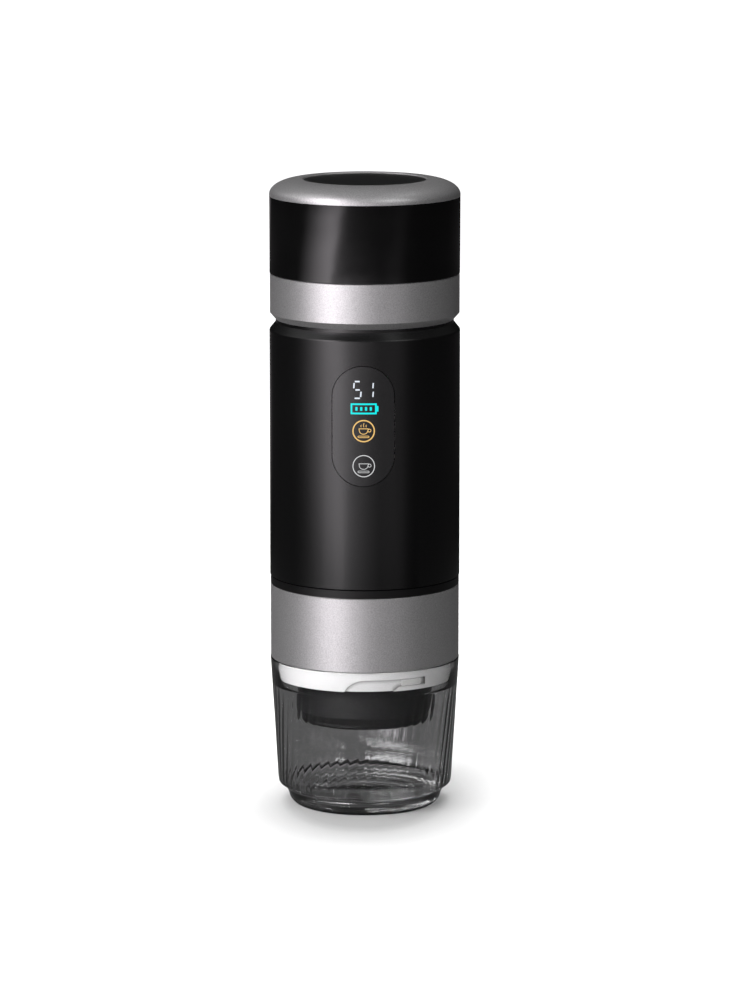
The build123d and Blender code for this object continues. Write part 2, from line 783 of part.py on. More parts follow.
display_clear = panel_back_depth - display_board_thickness - 2 * gap
tank_spout_radius = pump_inlet_radius
suction_tube_radius = tank_spout_radius + fit / 2 + tube_wall
with BuildPart() as upper_plate:
    with BuildSketch(Plane.XY.offset(upper_plate_bottom)):
        Circle(plate_radius)
        with Locations((0, -display_clear)):
            Rectangle(body_diameter, panel_thickness * 4, align=(Align.CENTER, Align.MAX), mode=Mode.SUBTRACT)
        with Locations((0, pad_depth - gap)):
            Rectangle(
                pocket_width + 3 * pad_margin,
                pad_thickness * 4,
                align=(Align.CENTER, Align.MIN),
                mode=Mode.SUBTRACT,
            )
        with Locations((0, water_line_y)):
            Circle(suction_tube_radius + gap, mode=Mode.SUBTRACT)
        with Locations(*all_posts):
            Circle(frame_screw_radius + fit, mode=Mode.SUBTRACT)
    extrude(amount=upper_plate_height)
upper_plate.part.label = "upper_plate"

screw_reach = 0.9 * frame_screw_length
with BuildPart() as frame_screws:
    with BuildSketch(Plane.XY.offset(trim_top)):
        with Locations(*all_posts):
            Circle(frame_screw_head_radius)
    extrude(amount=frame_screw_head_height)
    with BuildSketch(Plane.XY.offset(trim_top)):
        with Locations(*all_posts):
            Circle(frame_screw_radius - fit / 2)
    extrude(amount=lower_plate_height + screw_reach)
    with BuildSketch(Plane.XY.offset(upper_plate_top)):
        with Locations(*all_posts):
            Circle(frame_screw_head_radius)
    extrude(amount=frame_screw_head_height)
    with BuildSketch(Plane.XY.offset(upper_plate_top)):
        with Locations(*all_posts):
            Circle(frame_screw_radius - fit / 2)
    extrude(amount=-(upper_plate_height + screw_reach))
frame_screws.part.label = "frame_screws"

# Boiler: aluminium block on three legs, with two heater rods and a thermostat
cell_circle = housing_inner_radius - cell_radius - cell_wall_gap
cell_places = [(cell_circle * cos(radians(a)), cell_circle * sin(radians(a))) for a in cell_angles]
cell_distance = (cell_places[0][0] ** 2 + (cell_places[0][1] - water_line_y) ** 2) ** 0.5
boiler_radius = cell_distance - cell_radius - boiler_clearance - sleeve_wall - fit
heater_rod_circle = boiler_radius - heater_rod_inset
boiler_centre = (0, water_line_y)
rod_places = [(heater_rod_circle, water_line_y), (-heater_rod_circle, water_line_y)]
chamber_bottom = boiler_bottom + boiler_chamber_wall
chamber_height = boiler_height - 2 * boiler_chamber_wall

with BuildPart() as boiler:
    with BuildSketch(Plane.XY.offset(boiler_bottom)):
        with Locations(boiler_centre):
            Circle(boiler_radius)
    extrude(amount=boiler_height)
    with BuildSketch(Plane.XY.offset(lower_plate_top)):
        with Locations(boiler_centre):
            with PolarLocations(boiler_radius - boiler_leg_inset, boiler_leg_count, start_angle=90):
                Circle(boiler_leg_radius)
    extrude(amount=boiler_leg_height)
    with BuildSketch(Plane.XY.offset(trim_top - boiler_spout_height + fit)):
        with Locations(boiler_centre):
            Circle(boiler_spout_radius)
    extrude(amount=boiler_bottom - trim_top + boiler_spout_height - fit)
    with BuildSketch(Plane.XY.offset(boiler_top)):
        with Locations(boiler_centre):
            Circle(boiler_spout_radius)
    extrude(amount=boiler_spout_height)
    with BuildSketch(Plane.XY.offset(chamber_bottom)):
        with Locations(boiler_centre):
            Circle(boiler_chamber_radius)
    extrude(amount=chamber_height, mode=Mode.SUBTRACT)
    with BuildSketch(Plane.XY.offset(trim_top - boiler_spout_height)):
        with Locations(boiler_centre):
            Circle(boiler_bore_radius)
    extrude(amount=boiler_top - trim_top + 2 * boiler_spout_height, mode=Mode.SUBTRACT)
    with BuildSketch(Plane.XY.offset(boiler_bottom)):
        with Locations(*rod_places):
            Circle(heater_rod_radius + fit / 2)
    extrude(amount=boiler_height, mode=Mode.SUBTRACT)
boiler.part.label = "boiler"

with BuildPart() as heater_rods:
    with BuildSketch(Plane.XY.offset(lower_plate_top)):
        with Locations(*rod_places):
            Circle(heater_rod_radius)
    extrude(amount=boiler_top - lower_plate_top + heater_rod_stand)
heater_rods.part.label = "heater_rods"

with BuildPart() as boiler_sleeve:
    with BuildSketch(Plane.XY.offset(boiler_bottom + sleeve_inset)):
        with Locations(boiler_centre):
            Circle(boiler_radius + fit + sleeve_wall)
            Circle(boiler_radius + fit, mode=Mode.SUBTRACT)
    extrude(amount=boiler_height - 2 * sleeve_inset)
boiler_sleeve.part.label = "boiler_sleeve"

with BuildPart() as thermostat:
    with BuildSketch(Plane.XY.offset(boiler_top)):
        with Locations((0, water_line_y + boiler_radius - thermostat_inset)):
            Circle(thermostat_radius)
    extrude(amount=thermostat_height)
thermostat.part.label = "thermostat"

# Pressure tube: short silicone tube from the pump's outlet to the boiler
with BuildPart() as pressure_tube:
    with BuildSketch(Plane.XY.offset(boiler_top + fit)):
        with Locations(boiler_centre):
            Circle(pressure_tube_radius)
            Circle(pump_spout_radius + fit / 2, mode=Mode.SUBTRACT)
    extrude(amount=pump_bottom - boiler_top - 2 * fit)
pressure_tube.part.label = "pressure_tube"

# Pump: plastic barrel with a coil, a steel frame, a plunger and two springs
barrel_bottom = pump_bottom + pump_end_wall
barrel_top = pump_top - pump_end_wall
pump_middle = (pump_bottom + pump_top) / 2
coil_bottom = pump_middle - coil_height / 2

with BuildPart() as pump_cushion:
    with BuildSketch(Plane.XY.offset(mid_plate_bottom + mid_plate_height)):
        with Locations(boiler_centre):
            Circle(pump_cushion_radius)
            Circle(pressure_tube_radius + fit, mode=Mode.SUBTRACT)
    extrude(amount=pump_cushion_height)
pump_cushion.part.label = "pump_cushion"

with BuildPart() as pump_barrel:
    with BuildSketch(Plane.XY.offset(pump_bottom)):
        with Locations(boiler_centre):
            Circle(pump_radius)
    extrude(amount=pump_height)
    with BuildSketch(Plane.XY.offset(pump_bottom - pump_spout_height)):
        with Locations(boiler_centre):
            Circle(pump_spout_radius)
    extrude(amount=pump_spout_height)
    with BuildSketch(Plane.XY.offset(pump_top)):
        with Locations(boiler_centre):
            Circle(pump_inlet_radius)
    extrude(amount=pump_spout_height)
    with BuildSketch(Plane.XY.offset(barrel_bottom)):
        with Locations(boiler_centre):
            Circle(pump_bore_radius)
    extrude(amount=barrel_top - barrel_bottom, mode=Mode.SUBTRACT)
    with BuildSketch(Plane.XY.offset(pump_bottom - pump_spout_height)):
        with Locations(boiler_centre):
            Circle(pump_water_bore)
    extrude(amount=pump_height + 2 * pump_spout_height, mode=Mode.SUBTRACT)
pump_barrel.part.label = "pump_barrel"

with BuildPart() as pump_coil:
    with BuildSketch(Plane.XY.offset(coil_bottom)):
        with Locations(boiler_centre):
            Circle(coil_radius)
            Circle(pump_radius + fit, mode=Mode.SUBTRACT)
    extrude(amount=coil_height)
pump_coil.part.label = "pump_coil"

with BuildPart() as pump_frame:
    with BuildSketch(Plane.XY.offset(coil_bottom - pump_frame_plate)):
        with Locations(boiler_centre):
            Rectangle(pump_frame_width, pump_frame_depth)
    extrude(amount=coil_height + 2 * pump_frame_plate)
    with BuildSketch(Plane.XY.offset(coil_bottom)):
        with Locations(boiler_centre):
            Rectangle(pump_frame_width - 2 * pump_frame_plate, 2 * pump_frame_depth)
    extrude(amount=coil_height, mode=Mode.SUBTRACT)
    with BuildSketch(Plane.XY.offset(coil_bottom - pump_frame_plate)):
        with Locations(boiler_centre):
            Circle(pump_radius + fit)
    extrude(amount=coil_height + 2 * pump_frame_plate, mode=Mode.SUBTRACT)
pump_frame.part.label = "pump_frame"

plunger_bottom = pump_middle - plunger_length / 2
plunger_top = pump_middle + plunger_length / 2
with BuildPart() as pump_plunger:
    with BuildSketch(Plane.XY.offset(plunger_bottom)):
        with Locations(boiler_centre):
            Circle(pump_bore_radius - plunger_gap)
            Circle(plunger_bore_radius, mode=Mode.SUBTRACT)
    extrude(amount=plunger_length)
    chamfer(pump_plunger.edges().filter_by(GeomType.CIRCLE).sort_by(SortBy.RADIUS)[-2:], plunger_bevel)
pump_plunger.part.label = "pump_plunger"

# Springs: helical springs above and below the plunger, with a small end gap
spring_seat = spring_wire_radius + fit / 2
lower_spring_height = plunger_bottom - barrel_bottom - 2 * spring_seat
upper_spring_height = barrel_top - plunger_top - 2 * spring_seat

with BuildPart() as lower_spring:
    with BuildLine() as lower_spring_line:
        Helix(
            lower_spring_height / spring_turns,
            lower_spring_height,
            spring_radius,
            center=(0, water_line_y, barrel_bottom + spring_seat),
        )
    with BuildSketch(Plane(lower_spring_line.line @ 0, z_dir=lower_spring_line.line % 0)):
        Circle(spring_wire_radius)
    sweep()
lower_spring.part.label = "lower_spring"

with BuildPart() as upper_spring:
    with BuildLine() as upper_spring_line:
        Helix(
            upper_spring_height / spring_turns,
            upper_spring_height,
            spring_radius,
            center=(0, water_line_y, plunger_top + spring_seat),
        )
    with BuildSketch(Plane(upper_spring_line.line @ 0, z_dir=upper_spring_line.line % 0)):
        Circle(spring_wire_radius)
    sweep()
upper_spring.part.label = "upper_spring"

# Battery: three cells in two trays, joined by straps
with BuildPart() as battery_cells:
    with BuildSketch(Plane.XY.offset(cells_bottom)):
        with Locations(*cell_places):
            Circle(cell_radius)
    extrude(amount=cell_length)
    chamfer(battery_cells.edges(), cell_edge)
    with BuildSketch(Plane.XY.offset(cells_bottom + cell_length)):
        with Locations(*cell_places):
            Circle(cell_cap_radius)
    extrude(amount=cell_cap_height)
battery_cells.part.label = "battery_cells"


def cell_tray_sketch(place):
    """Outline round the three cells and the web between them, at a height."""
    with BuildSketch(Plane.XY.offset(place)) as outline:
        with Locations(*cell_places):
            Circle(cell_radius + fit + cell_socket_wall)
        Polygon(*cell_places, align=None)
    return outline.sketch


socket_radius = cell_radius + fit
with BuildPart() as lower_cell_tray:
    add(cell_tray_sketch(lower_plate_top))
    extrude(amount=cell_floor + strap_thickness + cell_socket_depth)
    with BuildSketch(Plane.XY.offset(lower_plate_top + cell_floor)):
        with Locations(*cell_places):
            Circle(socket_radius)
    extrude(amount=strap_thickness + cell_socket_depth, mode=Mode.SUBTRACT)
lower_cell_tray.part.label = "lower_cell_tray"

with BuildPart() as upper_cell_tray:
    add(cell_tray_sketch(cells_top - cell_socket_depth))
    extrude(amount=cell_socket_depth + strap_thickness + cell_floor)
    with BuildSketch(Plane.XY.offset(cells_top - cell_socket_depth)):
        with Locations(*cell_places):
            Circle(socket_radius)
    extrude(amount=cell_socket_depth + strap_thickness, mode=Mode.SUBTRACT)
upper_cell_tray.part.label = "upper_cell_tray"

# Cell straps: nickel strips below the cells and on their caps
with BuildPart() as cell_straps:
    with BuildSketch(Plane.XY.offset(lower_plate_top + cell_floor)):
        with Locations(*cell_places):
            Circle(strap_width / 2)
    extrude(amount=strap_thickness)
    with BuildSketch(Plane.XY.offset(cells_top)):
        with Locations(*cell_places):
            Circle(strap_width / 2)
    extrude(amount=strap_thickness)
cell_straps.part.label = "cell_straps"

# Control board with its power parts
control_board_depth = housing_inner_radius - control_board_inset
board_front = Plane(origin=(0, -control_board_depth, lower_plate_top), x_dir=(-1, 0, 0), z_dir=(0, 1, 0))
with BuildPart() as control_board:
    with BuildSketch(board_front):
        with Locations((0, control_board_height / 2)):
            Rectangle(control_board_width, control_board_height)
    extrude(amount=control_board_thickness)
control_board.part.label = "control_board"

with BuildPart() as board_parts:
    with BuildSketch(board_front):
        with Locations((-board_part_spread, 2 * control_board_height / 3)):
            Rectangle(board_chip, board_chip)
        with Locations((board_part_spread, 2 * control_board_height / 3)):
            Rectangle(board_chip, board_driver)
        with Locations((-board_part_spread, control_board_height / 4), (0, control_board_height / 4)):
            Rectangle(board_driver, board_chip)
        with Locations((board_part_spread + board_capacitor_radius, control_board_height / 4)):
            Circle(board_capacitor_radius)
    extrude(amount=-board_part_height)
board_parts.part.label = "board_parts"

# Charging board and socket, on the upper plate behind the cover
socket_mouth = pocket_floor_depth - usb_recess
with BuildPart() as charge_board:
    with BuildSketch(Plane.XY.offset(upper_plate_top)):
        with Locations((0, socket_mouth - charge_board_setback - charge_board_depth / 2)):
            Rectangle(charge_board_width, charge_board_depth)
    extrude(amount=charge_board_thickness)
charge_board.part.label = "charge_board"

socket_plane = Plane(origin=(0, socket_mouth, usb_centre), x_dir=(1, 0, 0), z_dir=(0, -1, 0))
with BuildPart() as charging_socket:
    with BuildSketch(socket_plane):
        SlotOverall(usb_width, usb_height)
    extrude(amount=usb_depth)
    with BuildSketch(socket_plane):
        SlotOverall(usb_width - 2 * usb_wall, usb_height - 2 * usb_wall)
    extrude(amount=usb_mouth_depth, mode=Mode.SUBTRACT)
    with BuildSketch(socket_plane.offset(usb_tongue_setback)):
        Rectangle(usb_tongue_width, usb_tongue_height)
    extrude(amount=usb_mouth_depth - usb_tongue_setback)
charging_socket.part.label = "charging_socket"

# Port cover: rubber flap, flush with the housing, hinged at its lower edge
with BuildPart() as port_cover:
    with BuildSketch(Plane(origin=(-cover_width / 2, 0, 0), x_dir=(0, 1, 0), z_dir=(1, 0, 0))):
        with Locations((cover_hinge_y, cover_hinge_z)):
            Circle(cover_hinge_radius)
        with Locations((cover_floor_depth, cover_hinge_z)):
            Rectangle(
                2 * cover_thickness,
                cover_height - cover_hinge_radius,
                align=(Align.MIN, Align.MIN),
            )
    extrude(amount=cover_width)
    Cylinder(body_radius, 2 * housing_top, mode=Mode.INTERSECT)
port_cover.part.label = "port_cover"

# Water tank with its threaded neck, hung by its flange in the upper silver ring
upper_ring_bore = ring_radius - upper_ring_wall
display_board_top = panel_centre + display_board_height / 2
tank_bottom = max(upper_plate_top + tank_gap, display_board_top + gap)
tank_radius = upper_ring_bore - gap
liner_radius = tank_radius + gap + liner_wall
tank_flange_radius = liner_radius + tank_flange_lip
tank_inner_radius = tank_radius - tank_wall
tank_shelf = upper_ring_top - tank_flange_height - tank_flange_depth
tank_flange_top = tank_shelf + tank_flange_height
tank_top = tank_flange_top + tank_neck_height
with BuildPart() as water_tank:
    with BuildSketch(Plane.XZ):
        with BuildLine():
            Polyline(
                (0, tank_bottom),
                (tank_radius, tank_bottom),
                (tank_radius, tank_shelf),
                (tank_flange_radius, tank_shelf),
                (tank_flange_radius, tank_flange_top),
                (tank_radius, tank_flange_top),
                (tank_radius, tank_top),
                (tank_inner_radius, tank_top),
                (tank_inner_radius, tank_bottom + tank_floor_thickness),
                (0, tank_bottom + tank_floor_thickness),
                close=True,
            )
        make_face()
    revolve(axis=Axis.Z)
    with BuildSketch(Plane.XY.offset(tank_bottom - tank_spout_height)):
        with Locations(boiler_centre):
            Circle(tank_spout_radius)
    extrude(amount=tank_spout_height)
    with BuildSketch(Plane.XY.offset(tank_bottom - tank_spout_height)):
        with Locations(boiler_centre):
            Circle(tank_bore_radius)
    extrude(amount=tank_spout_height + tank_floor_thickness, mode=Mode.SUBTRACT)
water_tank.part.label = "water_tank"

with BuildPart() as tank_strainer:
    with BuildSketch(Plane.XY.offset(tank_bottom + tank_floor_thickness)):
        with Locations(boiler_centre):
            Circle(strainer_radius)
            with PolarLocations(strainer_hole_circle, strainer_hole_count):
                Circle(strainer_hole_radius, mode=Mode.SUBTRACT)
    extrude(amount=strainer_sheet)
tank_strainer.part.label = "tank_strainer"

with BuildPart() as suction_tube:
    with BuildSketch(Plane.XY.offset(pump_top + fit)):
        with Locations(boiler_centre):
            Circle(suction_tube_radius)
            Circle(tank_spout_radius + fit / 2, mode=Mode.SUBTRACT)
    extrude(amount=tank_bottom - pump_top - 2 * fit)
suction_tube.part.label = "suction_tube"

with BuildPart() as upper_ring:
    with BuildSketch(Plane.XZ):
        with BuildLine():
            Polyline(
                (upper_ring_bore, housing_top),
                (neck_radius, housing_top),
                (ring_radius, housing_top + upper_ring_chamfer),
                (ring_radius, upper_ring_top - upper_ring_edge),
                (ring_radius - upper_ring_edge, upper_ring_top),
                (tank_flange_radius + fit, upper_ring_top),
                (tank_flange_radius + fit, tank_shelf),
                (upper_ring_bore, tank_shelf),
                close=True,
            )
        make_face()
    revolve(axis=Axis.Z)
upper_ring.part.label = "upper_ring"

# Lid: gasket, liner with the thread, gloss black shell, silver dome and dark inlay
with BuildPart() as lid_gasket:
    with BuildSketch(Plane.XY.offset(tank_flange_top)):
        Circle(liner_radius)
        Circle(tank_radius + gap, mode=Mode.SUBTRACT)
    extrude(amount=lid_gasket_height)
lid_gasket.part.label = "lid_gasket"

liner_bottom = tank_flange_top + lid_gasket_height
lid_plate_bottom = lid_top - lid_plate
with BuildPart() as lid_liner:
    with BuildSketch(Plane.XY.offset(liner_bottom)):
        Circle(liner_radius)
    extrude(amount=lid_plate_bottom - liner_bottom)
    with BuildSketch(Plane.XY.offset(liner_bottom)):
        Circle(liner_radius - liner_wall)
    extrude(amount=lid_plate_bottom - liner_plate - liner_bottom, mode=Mode.SUBTRACT)
lid_liner.part.label = "lid_liner"

lid_inner_radius = liner_radius + fit
with BuildPart() as lid_shell:
    with BuildSketch(Plane.XZ):
        with BuildLine():
            Polyline(
                (lid_inner_radius, lid_bottom),
                (body_radius - lid_taper - lid_edge, lid_bottom),
                (body_radius - lid_taper, lid_bottom + lid_edge),
                (body_radius, lid_top),
                (0, lid_top),
                (0, lid_plate_bottom),
                (lid_inner_radius, lid_plate_bottom),
                close=True,
            )
        make_face()
    revolve(axis=Axis.Z)
lid_shell.part.label = "lid_shell"

dome_top = lid_top + dome_height
dome_land_radius = body_radius - dome_edge_width
inlay_radius = dome_land_radius - dome_land_width - fit
inlay_top = dome_top - inlay_recess
recess_floor = inlay_top - inlay_thickness
with BuildPart() as dome:
    with BuildSketch(Plane.XZ):
        with BuildLine():
            Line((0, recess_floor - dome_sheet), (body_radius - dome_rim, recess_floor - dome_sheet))
            Line((body_radius - dome_rim, recess_floor - dome_sheet), (body_radius - dome_rim, lid_top))
            Line((body_radius - dome_rim, lid_top), (body_radius, lid_top))
            Line((body_radius, lid_top), (body_radius, lid_top + dome_band_height))
            EllipticalCenterArc(
                (dome_land_radius, lid_top + dome_band_height),
                dome_edge_width,
                dome_height - dome_band_height,
                start_angle=0,
                arc_size=90,
            )
            Line((dome_land_radius, dome_top), (inlay_radius + fit + dome_land_bevel, dome_top))
            Line((inlay_radius + fit + dome_land_bevel, dome_top), (inlay_radius + fit, inlay_top))
            Line((inlay_radius + fit, inlay_top), (inlay_radius + fit, recess_floor))
            Line((inlay_radius + fit, recess_floor), (0, recess_floor))
            Line((0, recess_floor), (0, recess_floor - dome_sheet))
        make_face()
    revolve(axis=Axis.Z)
dome.part.label = "dome"

with BuildPart() as inlay_disc:
    with BuildSketch(Plane.XY.offset(recess_floor)):
        Circle(inlay_radius)
    extrude(amount=inlay_thickness)
inlay_disc.part.label = "inlay_disc"

pieces = [
    cup, head_shell, bayonet_collar, spout, spout_gasket, basket_holder, filter_basket, thread_ring,
    head_screws, group_gasket, group_head, shower_screen, shower_screw, trim_ring, main_housing,
    display_panel, display_board, lower_plate, frame_posts, mid_plate, upper_plate, frame_screws,
    boiler, heater_rods, boiler_sleeve, thermostat, pressure_tube, pump_cushion, pump_barrel,
    pump_coil, pump_frame, pump_plunger, lower_spring, upper_spring, battery_cells,
    lower_cell_tray, upper_cell_tray, cell_straps, control_board, board_parts, charge_board,
    charging_socket, port_cover, water_tank, tank_strainer, suction_tube, upper_ring, lid_gasket,
    lid_liner, lid_shell, dome, inlay_disc,
]
for piece in pieces:
    export_step(piece.part, f"parts/{piece.part.label}.step")
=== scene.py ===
import json
import math

import bpy
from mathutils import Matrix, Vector


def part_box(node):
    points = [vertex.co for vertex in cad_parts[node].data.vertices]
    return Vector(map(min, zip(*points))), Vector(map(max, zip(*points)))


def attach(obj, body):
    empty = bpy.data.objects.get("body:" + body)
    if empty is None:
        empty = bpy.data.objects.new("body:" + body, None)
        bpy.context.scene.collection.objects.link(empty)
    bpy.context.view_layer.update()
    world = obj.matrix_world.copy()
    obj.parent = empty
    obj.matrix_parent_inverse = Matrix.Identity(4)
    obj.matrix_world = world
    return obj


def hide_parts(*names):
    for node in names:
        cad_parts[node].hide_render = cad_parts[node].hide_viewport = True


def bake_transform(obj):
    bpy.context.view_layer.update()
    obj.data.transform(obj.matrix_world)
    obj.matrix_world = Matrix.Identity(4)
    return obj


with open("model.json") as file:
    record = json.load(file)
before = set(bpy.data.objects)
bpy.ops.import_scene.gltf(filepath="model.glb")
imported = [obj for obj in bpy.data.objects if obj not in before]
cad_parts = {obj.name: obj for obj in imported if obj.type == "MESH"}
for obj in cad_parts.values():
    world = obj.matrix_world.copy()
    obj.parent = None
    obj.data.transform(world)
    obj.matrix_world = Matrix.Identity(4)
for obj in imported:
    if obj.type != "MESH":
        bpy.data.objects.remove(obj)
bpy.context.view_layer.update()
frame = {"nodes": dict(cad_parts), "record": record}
nodes = frame["nodes"]
mm = 0.001
roundSteps = 5
tiny = 1e-7
print("frame loaded:", len(nodes), "nodes")


# wraps a number socket, so that a sum written on it adds Math nodes
class value:
    def __init__(self, tree, socket):
        self.tree = tree
        self.socket = socket

    def math(self, operation, *others, clamp=False):
        step = self.tree.nodes.new("ShaderNodeMath")
        step.operation = operation
        step.use_clamp = clamp
        for place, item in enumerate((self,) + others):
            if isinstance(item, value):
                self.tree.links.new(item.socket, step.inputs[place])
            else:
                step.inputs[place].default_value = item
        return value(self.tree, step.outputs[0])

    def __add__(self, other):
        return self.math("ADD", other)

    def __sub__(self, other):
        return self.math("SUBTRACT", other)

    def __mul__(self, other):
        return self.math("MULTIPLY", other)


# a material with one Principled shader, whose fixed numbers sit on its own sockets
class finish:
    def __init__(self, name, settings):
        self.material = bpy.data.materials.new(name)
        self.material.use_nodes = True
        self.tree = self.material.node_tree
        self.shader = self.tree.nodes["Principled BSDF"]
        for socket, number in settings.items():
            self.shader.inputs[socket].default_value = number
        self.place = self.node("ShaderNodeTexCoord", "Object")

    def node(self, kind, output, settings=None, inputs=None):
        step = self.tree.nodes.new(kind)
        for name, setting in (settings or {}).items():
            if name == "stops":
                elements = step.color_ramp.elements
                elements.remove(elements[1])
                for order, (position, grey) in enumerate(setting):
                    element = elements.new(position) if order else elements[0]
                    element.position = position
                    element.color = (grey, grey, grey, 1)
            else:
                setattr(step, name, setting)
        for socket, item in (inputs or {}).items():
            if isinstance(item, value):
                self.tree.links.new(item.socket, step.inputs[socket])
            else:
                step.inputs[socket].default_value = item
        return value(self.tree, step.outputs[output])

    # one of the place's three measures: 0 is x, 1 is y and 2 is z
    def axis(self, which):
        return self.node("ShaderNodeSeparateXYZ", which, None, {0: self.place})

    def scaled(self, stretch):
        return self.node("ShaderNodeMapping", 0, None, {"Vector": self.place, "Scale": stretch})

    # a grey pattern: noise from (scale, detail, stretch), or another texture from (kind, settings, inputs)
    def pattern(self, wanted):
        if isinstance(wanted[0], str):
            kind, settings, inputs = wanted
            return self.node(kind, "Fac", settings, {"Vector": self.place, **inputs})
        scale, detail, *stretch = wanted
        where = self.scaled(stretch[0]) if stretch else self.place
        return self.node("ShaderNodeTexNoise", "Fac", None, {"Vector": where, "Scale": scale, "Detail": detail})

    def blend(self, factor, first, second):
        inputs = {0: factor}
        for socket, color in ((6, first), (7, second)):
            inputs[socket] = color if isinstance(color, value) else (*color, 1)
        return self.node("ShaderNodeMix", 2, {"data_type": "RGBA"}, inputs)

    # goes evenly from first to last while the measure goes from start to end
    def slide(self, measure, start, end, first=0.0, last=1.0):
        return self.node("ShaderNodeMapRange", 0, None, {"Value": measure, 1: start, 2: end, 3: first, 4: last})

    # a ramp along a measure, from pairs of its value and the number wanted there; its numbers stay at 1 or below
    def ramp(self, pairs, measure, share=1.0):
        start = pairs[0][0]
        length = pairs[-1][0] - start
        stops = [((where - start) / length, number * share) for where, number in pairs]
        return self.node("ShaderNodeValToRGB", 0, {"stops": stops}, {0: (measure - start) * (1 / length)})

    def feed(self, socket, item):
        self.tree.links.new(item.socket, self.shader.inputs[socket])


turnedMetal = ("ShaderNodeTexWave", {"wave_type": "RINGS", "rings_direction": "Z"}, {
    "Scale": 420.0, "Distortion": 0.6, "Detail": 1.0})
woundWire = ("ShaderNodeTexWave", {"wave_type": "BANDS", "bands_direction": "Z"}, {
    "Scale": 620.0, "Distortion": 0.35, "Detail": 1.0})
boardTracks = ("ShaderNodeTexBrick", {"offset": 0.5}, {
    "Scale": 260.0, "Mortar Size": 0.06, "Brick Width": 0.9, "Row Height": 0.35})

